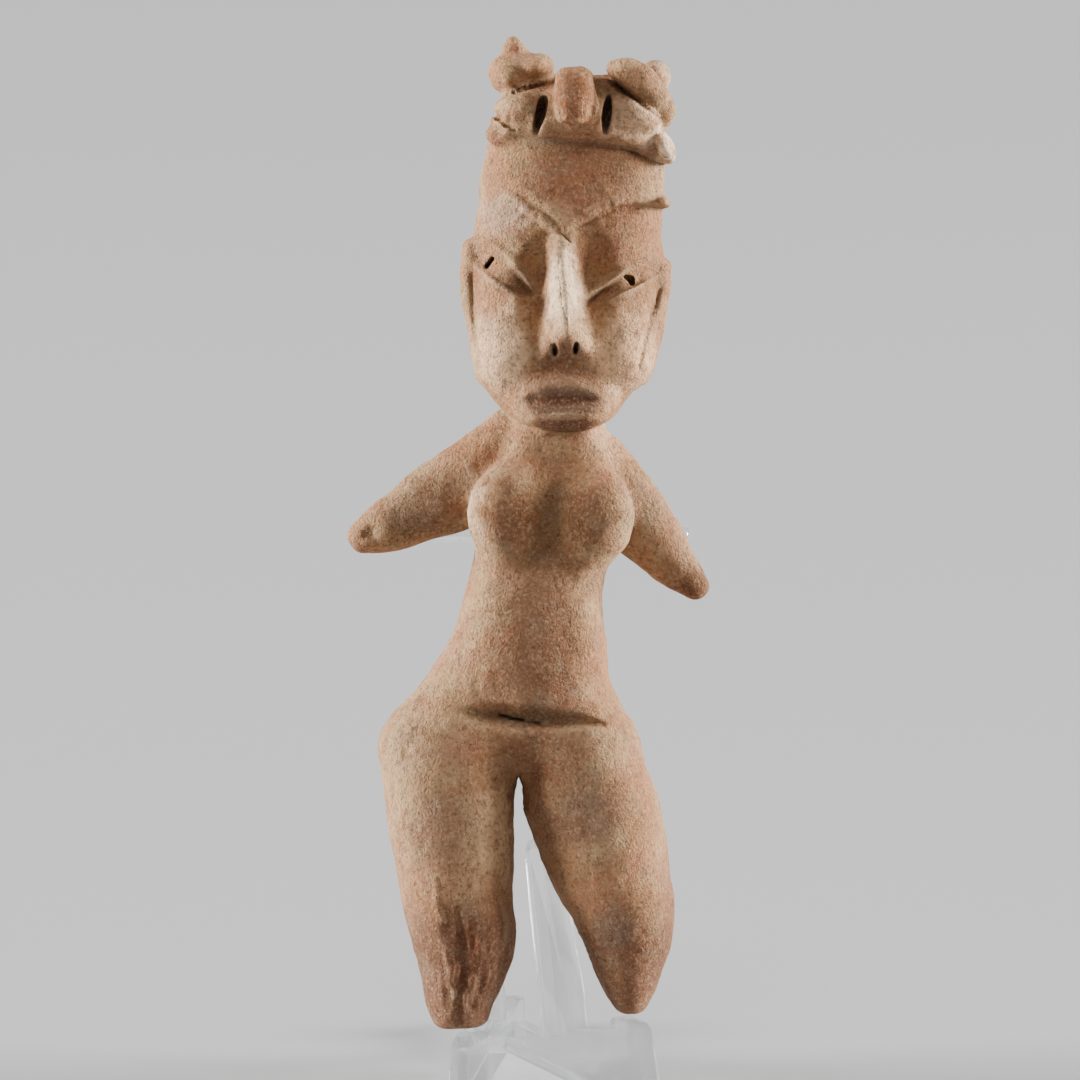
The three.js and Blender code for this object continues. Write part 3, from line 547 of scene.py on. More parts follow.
@dataclass(frozen=True)
class Skinner:
    """Makes a closed mesh of a form on a grid whose lines lie closer where detail needs it.

    Only the blocks of the grid that can hold the surface are measured in full: those with a corner
    nearer to it than a share of the block's diagonal and a spare length in mm.
    """

    lines: tuple[np.ndarray, np.ndarray, np.ndarray]
    block: int = BLOCK
    share: float = 0.6
    spare: float = 0.3
    batches: int = 6

    def _near(self, form: Form) -> tuple[np.ndarray, np.ndarray]:
        """Find the part of the grid near the surface.

        Args:
            form: The shape to cover.

        Returns:
            A mask of the grid points near the surface, and far values with the right sign.
        """
        coarse_lines = [line[:: self.block] for line in self.lines]
        count = [len(line) for line in coarse_lines]
        grid = np.stack(np.meshgrid(*coarse_lines, indexing="ij"), axis=-1).reshape(-1, 3)
        coarse = form.distance(grid).reshape(count)
        steps = np.meshgrid(*[np.diff(line) for line in coarse_lines], indexing="ij")
        diagonal = np.sqrt(sum(step**2 for step in steps))
        nearest = np.full(diagonal.shape, FAR)
        for corner in np.ndindex(2, 2, 2):
            nearest = np.minimum(nearest, np.abs(coarse[cell_corner(corner, count)]))
        close = nearest < diagonal * self.share + self.spare
        mask = np.zeros([len(line) for line in self.lines], bool)
        values = np.full(mask.shape, FAR, np.float32)
        for shift in np.ndindex(*(self.block + 1,) * 3):
            window = tuple(slice(s, s + (n - 1) * self.block, self.block) for s, n in zip(shift, count))
            mask[window] |= close
            values[window] = np.where(coarse[:-1, :-1, :-1] < 0, -FAR, FAR)
        return mask, values

    def _spots(self, values: np.ndarray, active: np.ndarray) -> np.ndarray:
        """Find one point for each cell that the surface passes through.

        Args:
            values: Distance at each grid point, in mm.
            active: Mask of the cells that the surface passes through.

        Returns:
            The points, in mm, in the order of the cells.
        """
        cells = np.argwhere(active)
        total, hits = np.zeros((len(cells), 3)), np.zeros(len(cells))
        for axis, unit in enumerate(UNITS):
            for corner in np.ndindex(2, 2, 2):
                if corner[axis] == 0:
                    a = values[cell_corner(corner, values.shape)][active]
                    b = values[cell_corner(corner + unit, values.shape)][active]
                    crossed = (a < 0) != (b < 0)
                    part = np.where(crossed, a / np.where(crossed, a - b, 1), 0)
                    total += (np.array(corner) + part[:, None] * unit) * crossed[:, None]
                    hits += crossed
        spots = (cells + total / hits[:, None]).T
        places = [np.interp(spot, np.arange(len(line)), line) for spot, line in zip(spots, self.lines)]
        return np.stack(places, axis=1)

    def _faces(self, inside: np.ndarray, number: np.ndarray) -> np.ndarray:
        """Join the cells' points round every grid step that crosses the surface.

        Args:
            inside: Mask of the grid points inside the form.
            number: Point number of each cell.

        Returns:
            Rows of four point numbers, which turn so that the faces look outward.
        """
        near_end = inside[tuple(slice(1, n - 1) for n in inside.shape)]
        faces = []
        for axis, unit in enumerate(UNITS):
            u, v = UNITS[(axis + 1) % 3], UNITS[(axis + 2) % 3]
            far_end = inside[tuple(slice(1 + s, n - 1 + s) for s, n in zip(unit, inside.shape))]
            for starts_inside in (True, False):
                edges = np.argwhere((near_end == starts_inside) & (far_end != starts_inside)) + 1
                corners = (edges - u - v, edges - v, edges, edges - u)
                ring = np.stack([number[tuple(corner.T)] for corner in corners], axis=1)
                faces.append(ring if starts_inside else ring[:, ::-1])
        return np.concatenate(faces)

    def skin(self, form: Form) -> tuple[np.ndarray, np.ndarray]:
        """Lay a skin of four-sided faces over the form.

        Args:
            form: The shape to cover.

        Returns:
            The skin's points in mm, and its faces as rows of four point numbers.
        """
        mask, values = self._near(form)
        places = np.stack([line[i] for line, i in zip(self.lines, np.argwhere(mask).T)], axis=1)
        distances = np.concatenate([form.distance(part) for part in np.array_split(places, self.batches)])
        values[mask] = np.where(distances == 0, 1e-6, distances)
        inside = values < 0
        filled = np.zeros([n - 1 for n in values.shape], np.int8)
        for corner in np.ndindex(2, 2, 2):
            filled += inside[cell_corner(corner, values.shape)]
        active = (filled > 0) & (filled < 8)
        number = np.full(active.shape, -1, np.int64)
        number[active] = np.arange(active.sum())
        return self._spots(values, active), self._faces(inside, number)


def slope(form: Form, points: np.ndarray, reach: float = 0.05) -> tuple[np.ndarray, np.ndarray]:
    """Measure a form's distance and its outward direction.

    Args:
        form: The shape to measure.
        points: Places in mm.
        reach: Distance between the measured places, in mm.

    Returns:
        Distances, and one slope for each place.
    """
    here = form.distance(points)
    sides = [form.distance(points + reach * unit) - here for unit in UNITS]
    return here, np.stack(sides, axis=1) / reach


@dataclass(frozen=True)
class Scar:
    """A rough place on the surface: its centre, radii and how far its grit stands, in mm."""

    centre: tuple[float, float, float]
    radii: tuple[float, float, float]
    height: float
    stretch: float = 1.0


@dataclass
class BodyClay:
    """Torso, seat, belly, breasts, arms and legs, without hands or feet."""

    fillet: float = 3.0
    left_seat: tuple[float, float, float] = (8.9, 7.0, 8.6)
    right_seat: tuple[float, float, float] = (8.3, 7.0, 8.6)
    gouge_radius: float = 2.1

    def torso(self) -> Roll:
        """Roll the torso from the neck to the hips, widest at the hips.

        Returns:
            The torso.
        """
        stations = [
            (97.2, 4.5, 6.3, 1.2, 6.2),
            (91.8, 4.3, 7.7, 0.8, 6.4),
            (87.2, 4.2, 9.0, 0.4, 6.8),
            (81.1, 3.6, 10.8, 0.0, 7.4),
            (74.9, 2.8, 10.6, -0.2, 7.8),
            (70.3, 1.6, 10.4, -0.4, 8.0),
            (65.7, 0.7, 10.8, -0.6, 8.4),
            (59.6, -0.1, 12.1, -0.8, 9.2),
            (53.4, -1.6, 14.1, -0.9, 10.2),
            (48.1, -2.5, 16.9, -0.8, 11.0),
            (44.2, -2.0, 18.0, -0.6, 11.2),
            (39.3, -1.2, 16.9, -0.4, 9.6),
        ]
        return Roll(stations, 1.0, 7.0, 4.0)

    def legs(self) -> tuple[Roll, Roll]:
        """Roll the legs, which swell at the thigh and taper to a blunt point.

        Returns:
            The left and the right leg.
        """
        left = [
            (51.9, -11.2, 5.4, -0.8, 9.0),
            (48.5, -11.9, 8.5, -0.8, 10.6),
            (44.5, -12.7, 10.2, -0.8, 11.6),
            (39.6, -12.3, 10.4, -0.8, 12.2),
            (35.0, -12.0, 10.0, -1.0, 12.2),
            (29.5, -11.8, 9.6, -1.2, 11.8),
            (24.3, -11.3, 9.0, -1.4, 11.0),
            (19.7, -10.8, 8.5, -1.6, 10.4),
            (15.0, -9.9, 8.1, -1.8, 9.6),
            (10.4, -9.6, 7.3, -2.0, 8.6),
            (6.6, -9.9, 6.1, -2.2, 7.6),
            (3.4, -10.4, 5.1, -2.4, 6.6),
            (1.2, -10.3, 4.3, -2.5, 5.6),
            (-0.2, -10.3, 3.2, -2.6, 4.2),
        ]
        right = [
            (51.9, 6.1, 5.8, -0.8, 9.0),
            (48.5, 7.0, 7.5, -0.8, 10.6),
            (44.5, 7.9, 8.7, -0.8, 11.6),
            (38.8, 8.9, 9.7, -0.8, 12.2),
            (33.8, 9.9, 10.5, -1.0, 12.2),
            (29.5, 11.0, 10.1, -1.2, 11.8),
            (25.0, 12.1, 9.5, -1.4, 11.2),
            (20.9, 13.3, 9.0, -1.6, 10.6),
            (16.6, 14.6, 7.8, -1.8, 9.6),
            (12.3, 15.3, 6.4, -2.0, 8.2),
            (8.1, 15.4, 4.8, -2.2, 6.8),
            (4.3, 15.6, 3.0, -2.4, 4.8),
            (2.3, 15.8, 1.8, -2.5, 3.4),
        ]
        return Roll(left, 1.3, 1.2, 6.0), Roll(right, 1.3, 1.2, 6.0)

    def arms(self) -> tuple[Roll, Roll]:
        """Roll the arms, which are stubs pointing down and out.

        Returns:
            The left and the right arm.
        """
        left = [
            (-5.2, 0.8, 6.9, 1.6, 5.0),
            (0.0, -0.6, 7.1, 1.6, 5.2),
            (5.7, -1.0, 6.7, 1.2, 5.0),
            (11.5, -0.8, 5.8, 0.8, 4.6),
            (16.9, -0.7, 4.6, 0.4, 4.1),
            (21.5, -0.7, 3.6, 0.0, 3.4),
            (24.6, -0.7, 2.5, -0.2, 2.5),
            (26.4, -0.7, 1.5, -0.3, 1.6),
        ]
        right = [
            (-5.5, 1.5, 5.2, 1.6, 4.6),
            (1.1, 1.7, 6.0, 1.4, 5.2),
            (8.6, 1.6, 5.5, 1.0, 4.8),
            (14.6, 1.3, 4.3, 0.4, 4.2),
            (18.7, 1.1, 3.3, 0.0, 3.4),
            (21.8, 0.6, 2.3, -0.2, 2.5),
            (24.0, 0.4, 1.3, -0.3, 1.6),
        ]
        return (
            Roll(left, 1.7, 3.0, 1.2, (-4.3, 86.9), 242.5),
            Roll(right, 1.7, 3.0, 1.2, (12.6, 85.7), 142.7),
        )

    def model(self) -> Clay:
        """Join the body's forms and press its marks.

        Returns:
            The body's clay.
        """
        left_leg, right_leg = self.legs()
        clay = Clay(Clay(left_leg).join(0.2, right_leg)).join(self.fillet, self.torso())
        clay.join(4.0, Ball((-10.1, 6.6, 41.8), self.left_seat), Ball((8.6, 6.6, 41.8), self.right_seat))
        clay.join(4.0, Ball((0.3, -5.0, 58.0), (9.5, 5.6, 10.1)))
        clay.press(0.8, Ball((-1.5, 0.0, 33.5), (0.6, 40.0, 5.2)))
        left_breast = Ball((-3.9, -6.4, 79.4), (5.0, 3.8, 6.8), -8)
        right_breast = Ball((10.9, -6.4, 78.4), (5.3, 4.0, 6.3))
        clay.join(5.0, Clay(left_breast).join(4.8, right_breast))
        clay.join(1.0, *self.arms())
        return self.marks(clay)

    def marks(self, clay: Clay) -> Clay:
        """Cut the gouge across the belly, the cracks and the worn shins.

        Args:
            clay: The clay to work, which is changed in place.

        Returns:
            The same clay.
        """
        wide = self.gouge_radius
        gouge = [
            (-12.4, -12.4, 49.1, 0.5),
            (-5.5, -12.8, 48.2, wide),
            (1.1, -12.8, 47.6, wide),
            (11.6, -11.0, 46.9, 0.5),
        ]
        clay.press(0.4, Coil(gouge, 1.3))
        clay.sink(0.8, 0.5, Band([(-5.6, 48.6, 0.1), (-2.5, 47.7, 0.3), (3.0, 46.6, 0.1)]))
        clay.sink(0.35, 0.6, Band([(-3.4, 92.6, 0.1), (-3.6, 89.6, 0.25), (-4.1, 87.0, 0.1)]))
        hip_crack = [(-15.6, 49.6, 0.1), (-16.6, 46.4, 0.2), (-18.6, 42.4, 0.2), (-20.6, 38.8, 0.1)]
        clay.sink(0.25, 0.6, Band(hip_crack))
        clay.press(0.8, Ball((-24.2, -4.2, 75.7), (0.8, 1.7, 1.2), 30))
        clay.press(1.6, Ball((-9.2, -14.2, 10.0), (2.6, 4.0, 8.0), -4))
        worn_shin = [(-10.8, 18.5, 0.2), (-9.9, 13.0, 0.6), (-10.2, 7.0, 0.8), (-10.6, 1.0, 0.5)]
        clay.sink(0.7, 1.2, Band(worn_shin))
        clay.layer(0.5, 0.9, Band([(-14.2, 22.5, 0.2), (-14.0, 19.0, 0.5), (-12.6, 16.4, 0.2)]))
        clay.layer(0.5, 0.9, Band([(-4.2, 20.0, 0.2), (-3.0, 16.6, 0.7), (-3.4, 13.6, 0.3)]))
        return clay


@dataclass(frozen=True)
class Nose(Form):
    """A pinched ridge that widens and stands out downward, with an underside back to the face.

    The crest's two values round its edge. The roof falls from it by a power of the place across, and
    the underside rises by its own height on the way back to the face.
    """

    top: float = 121.0
    base: float = 102.4
    reach: float = 5.2
    face_front: float = -10.6
    root: float = -8.5
    crest_square: float = 0.12
    crest: float = 0.346
    roof_power: float = 1.2
    under_height: float = 3.5
    under_share: float = 0.83
    side_spare: float = 0.3

    def distance(self, points: np.ndarray) -> np.ndarray:
        """Measure how far places lie from the nose.

        Args:
            points: Places in mm.

        Returns:
            Their distances, in mm, negative inside.
        """
        profile = [
            (104.9, 6.0, 3.8, 5.2),
            (106.5, 5.9, 3.6, 5.2),
            (111.8, 5.6, 2.3, 3.9),
            (118.4, 5.0, 1.5, 2.0),
            (121.5, 4.9, 0.8, 0.4),
        ]
        x, y, z = points.T
        middle, half, reach = SmoothCurve(profile).at(z)
        out = self.face_front - y
        aside = np.sqrt((x - middle) ** 2 + self.crest_square) - self.crest
        roof = (out - reach * (1 - (aside / half) ** self.roof_power)) / np.hypot(1, reach / half)
        under = (self.base + out * self.under_height / self.reach - z) * self.under_share
        d = -blend(-roof, self.root - y, 0.5)
        d = -blend(-d, half + self.side_spare - aside, 0.6)
        d = -blend(-d, -under, 1.0)
        return -blend(-d, self.top - z, 1.0)

    def box(self) -> Box:
        """Lowest and highest corner of the nose, in mm."""
        return np.array((1.5, -17.0, self.base)), np.array((10.5, self.root, self.top))


@dataclass
class HeadClay:
    """Long head with hollow sockets, slit eyes, a ridge nose and a raised cap over the brows."""

    lid_height: float = 0.45
    lower_lid_share: float = 0.6
    bed_depth: float = 0.75
    cap_height: float = 0.3
    strip_height: float = 0.35
    cheek_radii: tuple[float, float, float] = (5.2, 4.6, 7.7)
    nostril_wing: tuple[float, float, float] = (0.9, 1.9, 1.1)

    def skull(self) -> Roll:
        """Roll the head from the chin to the top.

        Returns:
            The head's first form.
        """
        stations = [
            (144.9, 8.0, 9.2, 1.0, 6.0),
            (141.0, 8.3, 12.0, 0.6, 8.4),
            (136.3, 7.5, 13.1, 0.2, 9.2),
            (128.7, 6.6, 14.1, 0.0, 10.0),
            (121.5, 6.1, 14.5, -0.2, 10.6),
            (113.3, 5.8, 14.7, -0.4, 10.8),
            (107.2, 5.6, 13.4, -0.6, 10.6),
            (102.3, 5.3, 12.2, -0.9, 10.0),
            (98.3, 4.8, 11.0, -1.4, 9.0),
            (95.5, 4.8, 9.4, -2.0, 7.6),
            (93.4, 5.2, 7.2, -2.6, 6.0),
            (91.5, 5.5, 3.7, -3.2, 4.0),
        ]
        return Roll(stations, 0.8, 1.0, 3.0)

    def model(self) -> Clay:
        """Model the head.

        Returns:
            The head's clay.
        """
        clay = Clay(self.skull())
        clay.press(3.0, Ball((2.0, -13.4, 114.7), (2.8, 4.6, 7.7), -6))
        clay.press(3.0, Ball((10.1, -13.4, 115.5), (3.1, 4.6, 7.4), 8))
        clay.join(3.5, Ball((-2.5, -6.6, 105.3), self.cheek_radii, -8))
        clay.join(3.5, Ball((13.7, -6.6, 105.9), self.cheek_radii, 8))
        clay.join(1.2, Nose())
        for centre in ((3.2, -11.2, 105.0), (8.5, -11.2, 105.2)):
            clay.join(0.8, Ball(centre, self.nostril_wing))
        clay.press(0.3, Ball((4.1, -13.4, 103.9), (0.45, 3.0, 1.1), 4))
        clay.press(0.3, Ball((7.3, -13.4, 104.2), (0.4, 3.0, 1.0), -4))
        self.mouth(clay)
        self.brows(clay)
        self.eyes(clay)
        self.ears(clay)
        return clay

    def mouth(self, clay: Clay) -> None:
        """Model the lips and the chin under them.

        Args:
            clay: The clay to work, which is changed in place.
        """
        clay.join(2.0, Ball((5.4, -8.2, 95.9), (7.9, 5.3, 4.8)))
        for terrace in range(3):
            shrink = terrace * 0.7
            clay.sink(0.4, 1.8, Leaf((5.1, 96.3), 5.8 - shrink, 2.5 - shrink, 2.0 - terrace * 0.6))
        clay.layer(0.25, 0.8, Band([(2.4, 94.2, 0.05), (5.2, 93.9, 0.2), (8.2, 94.2, 0.05)]))
        clay.sink(0.5, 1.8, Leaf((5.4, 92.6), 5.2, 0.4, 1.9))

    def brows(self, clay: Clay) -> None:
        """Raise the cap that ends in a point over the nose, and its rolled edges.

        Args:
            clay: The clay to work, which is changed in place.
        """
        hairline = [
            (-13.5, 128.7),
            (-7.7, 128.9),
            (-5.1, 128.7),
            (-3.0, 127.3),
            (-0.8, 125.2),
            (1.9, 123.3),
            (5.0, 121.0),
            (6.6, 122.6),
            (9.6, 124.3),
            (12.6, 125.9),
            (17.2, 126.6),
            (26.4, 126.7),
        ]
        clay.layer(self.cap_height, 1.1, Above(hairline))
        left_dip = [(-7.4, 130.2, 0.3), (-4.0, 129.6, 0.6), (0.2, 126.8, 0.6), (4.4, 123.4, 0.3)]
        right_rim = [(9.2, 125.2, 0.5), (12.8, 126.7, 0.9), (17.2, 127.2, 0.9), (21.2, 126.9, 0.7)]
        clay.sink(0.5, 1.2, Band(left_dip)).layer(0.5, 1.0, Band(right_rim))
        clay.join(1.2, Ball((20.8, -5.4, 126.6), (1.1, 4.0, 0.8), -14))
        right_foot = [
            (7.2, 122.4, 0.1),
            (10.2, 124.0, 0.25),
            (13.5, 125.5, 0.3),
            (17.5, 125.9, 0.25),
            (20.8, 125.6, 0.1),
        ]
        clay.sink(0.35, 0.7, Band(right_foot))
        clay.sink(0.4, 0.5, Band([(5.2, 121.6, 0.1), (5.9, 120.8, 0.3), (6.6, 120.2, 0.1)]))
        crack = [
            (5.0, 119.8, 0.05),
            (5.0, 118.4, 0.15),
            (4.8, 115.8, 0.22),
            (5.2, 113.5, 0.15),
            (5.4, 111.0, 0.2),
            (5.8, 108.6, 0.14),
            (5.8, 106.8, 0.05),
        ]
        clay.sink(0.16, 0.4, Band(crack))

    def eyes(self, clay: Clay) -> None:
        """Sink the slit eyes, raise their lids and press the pupils.

        Args:
            clay: The clay to work, which is changed in place.
        """
        left, right = ((-3.8, 115.3), 6.3, 2.8, 1.0, -34.0), ((14.5, 113.7), 5.9, 2.1, 0.8, 25.0)
        deep_left, deep_right = ((-2.9, 114.7), 5.2, 2.4, 0.9, -34.0), ((13.7, 113.3), 4.9, 1.8, 0.7, 25.0)
        clay.sink(self.bed_depth / 2, 0.9, Leaf(*left), Leaf(*right), Leaf(*deep_left), Leaf(*deep_right))
        upper_left = [
            (-8.6, 120.9, 0.2),
            (-5.2, 120.1, 0.5),
            (-2.9, 118.1, 0.6),
            (-0.9, 115.9, 0.55),
            (0.3, 113.9, 0.45),
            (1.1, 111.9, 0.15),
        ]
        lower_left = [
            (-8.6, 117.3, 0.05),
            (-7.0, 115.8, 0.2),
            (-4.6, 113.9, 0.25),
            (-2.0, 112.2, 0.25),
            (1.0, 111.6, 0.15),
        ]
        upper_right = [
            (8.8, 112.0, 0.15),
            (11.2, 113.9, 0.4),
            (14.8, 116.1, 0.5),
            (18.6, 117.5, 0.35),
            (20.8, 118.0, 0.2),
        ]
        lower_right = [(10.2, 110.8, 0.1), (14.0, 112.6, 0.25), (17.8, 114.4, 0.25), (21.0, 115.8, 0.15)]
        clay.layer(self.lid_height, 1.0, Band(upper_left), Band(upper_right))
        clay.layer(self.lid_height * self.lower_lid_share, 0.7, Band(lower_left), Band(lower_right))
        clay.sink(1.2, 0.3, Band([(-6.3, 116.8, 0.28), (-5.4, 118.0, 0.36)]))
        clay.sink(1.2, 0.3, Band([(14.9, 115.2, 0.2), (15.8, 114.8, 0.4), (15.9, 114.3, 0.25)]))

    def ears(self, clay: Clay) -> None:
        """Lay a flat strip of clay down each side of the face, with a groove inside it.

        Args:
            clay: The clay to work, which is changed in place.
        """
        left = [
            (-8.9, -3.0, 119.8, 1.3),
            (-9.4, -3.4, 114.4, 1.0),
            (-8.5, -3.6, 107.8, 1.1),
            (-6.8, -3.8, 100.4, 1.1),
        ]
        right = [
            (20.7, -3.0, 116.7, 1.2),
            (20.6, -3.4, 113.0, 1.2),
            (19.4, -3.6, 107.2, 1.3),
            (17.2, -3.8, 100.4, 1.3),
        ]
        for strip in (left, right):
            thinner = [(x, y, z, radius - self.strip_height) for x, y, z, radius in strip]
            clay.join(2.2, Coil(thinner, 1.8)).join(0.5, Coil(strip, 1.8))
        left_groove = [
            (-8.6, 115.6, 0.05),
            (-8.4, 110.4, 0.2),
            (-8.0, 106.0, 0.3),
            (-7.5, 103.0, 0.3),
            (-7.1, 101.0, 0.1),
        ]
        right_groove = [
            (20.2, 113.4, 0.05),
            (18.9, 109.2, 0.3),
            (18.0, 106.0, 0.35),
            (17.3, 103.0, 0.35),
            (16.8, 101.2, 0.1),
        ]
        clay.sink(0.3, 0.9, Band(left_groove)).sink(0.45, 0.7, Band(right_groove))


@dataclass
class HeaddressClay:
    """A rolled brim, a bun with a pointed tip, a strap over a second bun, and a peg between slits."""

    slit_radii: tuple[float, float, float] = (0.8, 4.0, 3.3)

    def model(self) -> Clay:
        """Model the headdress.

        Returns:
            The headdress's clay.
        """
        core = [
            (146.2, 8.0, 9.2, -1.0, 6.5),
            (143.7, 8.0, 11.1, -1.6, 8.6),
            (141.3, 8.1, 12.4, -1.8, 9.6),
            (138.6, 7.6, 13.0, -1.6, 10.0),
            (136.0, 7.4, 13.1, -1.4, 9.5),
        ]
        brim = [
            (-5.3, -6.8, 137.0, 1.1),
            (-3.1, -9.0, 138.3, 1.4),
            (2.2, -10.2, 138.9, 1.6),
            (7.1, -10.5, 139.0, 1.6),
            (11.7, -10.2, 138.7, 1.6),
            (16.6, -8.6, 137.3, 1.5),
            (20.6, -4.8, 134.8, 1.5),
        ]
        clay = Clay(Roll(core, 1.0, 1.4, 4.0)).join(1.8, Coil(brim, 0.9, 0.6))
        self.left_bun(clay)
        self.right_bun(clay)
        clay.press(0.3, Ball((1.9, -12.0, 140.1), self.slit_radii, -13))
        clay.press(0.3, Ball((12.1, -12.0, 140.2), self.slit_radii, -6))
        cord = [(9.9, -10.4, 144.2, 0.4), (10.2, -11.4, 141.4, 0.6), (10.0, -11.4, 138.8, 0.5)]
        clay.join(0.3, Coil(cord, 1.0, 0.3))
        peg = [
            (147.4, 7.0, 1.8, -9.4, 1.6),
            (146.6, 7.0, 2.6, -9.8, 2.4),
            (145.2, 7.0, 3.0, -10.3, 3.0),
            (142.8, 7.0, 3.1, -10.9, 3.3),
            (140.6, 6.9, 2.9, -11.2, 3.3),
            (139.4, 6.8, 2.6, -11.3, 3.0),
            (138.6, 6.8, 2.2, -11.3, 2.6),
        ]
        return clay.join(0.15, Roll(peg, 1.2, 0.6, 0.6))

    def left_bun(self, clay: Clay) -> None:
        """Join the bun with its pointed tip, and the flap under it, cut free by a crease.

        Args:
            clay: The clay to work, which is changed in place.
        """
        clay.join(1.4, Ball((-0.6, -7.0, 140.7), (4.8, 5.0, 3.3)))
        flap = [(-4.6, -6.8, 139.4, 1.1), (-4.7, -6.6, 136.9, 1.15), (-2.6, -8.6, 137.8, 1.2)]
        clay.join(0.8, Coil(flap, 1.2, 0.8))
        crease = [(-6.4, 140.9, 0.5), (-4.2, 139.3, 0.35), (-3.4, 138.5, 0.45), (-2.0, 137.6, 0.1)]
        clay.sink(0.55, 0.5, Band(crease))
        outer = Ball((-2.9, -3.2, 146.3), (3.2, 6.4, 3.3))
        inner = Ball((1.0, -3.2, 147.3), (3.1, 6.8, 2.2), 6)
        clay.join(1.2, Clay(outer).join(2.4, inner))
        tip = [(-2.5, -3.6, 151.3, 0.85), (-2.3, -3.6, 150.0, 1.8), (-1.9, -3.4, 148.8, 2.5)]
        clay.join(0.7, Coil(tip, 1.0, 0.6))
        foot = [(-3.4, 143.2, 0.05), (-2.2, 143.4, 0.2), (0.6, 144.4, 0.2), (4.2, 145.7, 0.1)]
        clay.sink(0.35, 0.5, Band(foot))

    def right_bun(self, clay: Clay) -> None:
        """Join the pale bun, the strap folded over it, the lobe beside it and the lump at the brim.

        Args:
            clay: The clay to work, which is changed in place.
        """
        clay.join(1.2, Ball((16.5, -7.4, 140.1), (4.5, 5.0, 3.0), -24))
        clay.join(0.3, Ball((20.7, -5.6, 135.3), (3.0, 3.8, 1.6), -63))
        fold = [(14.4, -10.4, 136.6, 0.4), (16.6, -9.8, 137.4, 0.7), (19.4, -8.2, 138.4, 0.7)]
        clay.join(0.3, Coil(fold, 1.0, 0.4))
        clay.join(0.3, Ball((19.5, 0.2, 146.0), (2.5, 5.6, 2.7)))
        strap = [
            (13.0, -7.8, 147.2, 0.8),
            (14.9, -8.5, 146.4, 1.9),
            (17.3, -9.0, 144.8, 2.3),
            (19.6, -8.4, 142.4, 1.9),
            (20.8, -7.4, 140.5, 1.4),
            (20.9, -6.8, 139.2, 1.0),
        ]
        clay.join(0.2, Coil(strap, 1.1, 2.0))
        groove = [
            (11.6, 146.0, 0.1),
            (13.0, 145.4, 0.25),
            (15.6, 143.2, 0.3),
            (18.0, 141.0, 0.3),
            (20.3, 139.2, 0.15),
        ]
        clay.sink(0.45, 0.5, Band(groove))


@dataclass(frozen=True)
class Surface:
    """How far the hand-smoothed, weathered surface wanders from the modelled form, in mm.

    Waves are (size, height). A scar's grit has two sizes: the second is larger by a step and weaker by
    a share, and it fades over the scar's rim.
    """

    waves: tuple[tuple[float, float], ...] = ((9.0, 0.26), (3.4, 0.18), (1.4, 0.10))
    grit: float = 0.7
    grit_step: float = 2.1
    grit_share: float = 0.6
    grit_seeds: tuple[int, int] = (7, 8)
    rim: float = 1.6
    scars: tuple[Scar, ...] = (
        Scar((5.0, -12.0, 121.5), (4.0, 4.0, 1.8), 0.22),
        Scar((-0.5, -11.0, 124.5), (5.0, 4.0, 2.4), 0.14),
        Scar((15.0, -10.0, 126.5), (6.0, 4.0, 1.6), 0.14),
        Scar((7.1, -13.0, 138.9), (3.0, 3.0, 1.2), 0.30),
        Scar((-2.3, -5.0, 149.8), (3.0, 4.0, 0.9), 0.16),
        Scar((19.6, -1.0, 145.6), (3.0, 6.0, 3.0), 0.16),
        Scar((-4.5, -9.0, 138.6), (3.6, 4.0, 3.0), 0.28),
        Scar((17.5, -9.0, 137.8), (3.6, 4.0, 1.8), 0.24),
        Scar((18.8, -8.0, 109.0), (1.6, 4.0, 8.0), 0.20),
        Scar((-8.0, -8.0, 109.0), (1.4, 4.0, 8.0), 0.16),
        Scar((5.5, -15.0, 113.0), (0.9, 3.0, 6.5), 0.05),
        Scar((-17.0, -7.0, 32.0), (4.0, 9.0, 11.0), 0.18, 2.0),
        Scar((-24.4, -3.0, 75.7), (2.2, 3.0, 2.4), 0.24),
        Scar((3.6, -2.0, 30.0), (2.4, 12.0, 9.0), 0.24),
        Scar((8.4, -2.0, 15.0), (2.6, 10.0, 10.0), 0.24),
        Scar((-15.0, -4.0, 80.0), (6.0, 6.0, 4.0), 0.14),
        Scar((-2.4, -3.0, 88.0), (2.0, 6.0, 4.0), 0.12),
        Scar((-18.0, -8.0, 43.5), (3.0, 8.0, 6.0), 0.16),
        Scar((0.3, 0.0, 35.0), (1.6, 14.0, 3.6), 0.30),
        Scar((-9.0, -9.0, 9.0), (8.0, 9.0, 11.0), 0.42, 2.6),
        Scar((-12.5, -8.0, 18.0), (4.0, 7.0, 7.0), 0.22, 3.0),
        Scar((15.0, -10.0, 14.0), (4.0, 5.0, 6.0), 0.12),
    )

    def offset(self, points: np.ndarray) -> np.ndarray:
        """Find how far the surface stands over the modelled form.

        Args:
            points: Places in mm.

        Returns:
            One height for each place, in mm.
        """
        total = np.zeros(len(points))
        for number, (size, height) in enumerate(self.waves):
            total += height * cloud(points, size, number + 1)
        for scar in self.scars:
            away = np.linalg.norm((points - np.array(scar.centre)) / np.array(scar.radii), axis=1)
            here = away < 1
            spots = points[here] / np.array((1.0, 1.0, scar.stretch))
            fine, coarse = self.grit_seeds
            grit = cloud(spots, self.grit, fine)
            grit = grit + self.grit_share * cloud(spots, self.grit * self.grit_step, coarse)
            total[here] += scar.height * np.clip(self.rim - self.rim * away[here], 0, 1) * grit
        return total


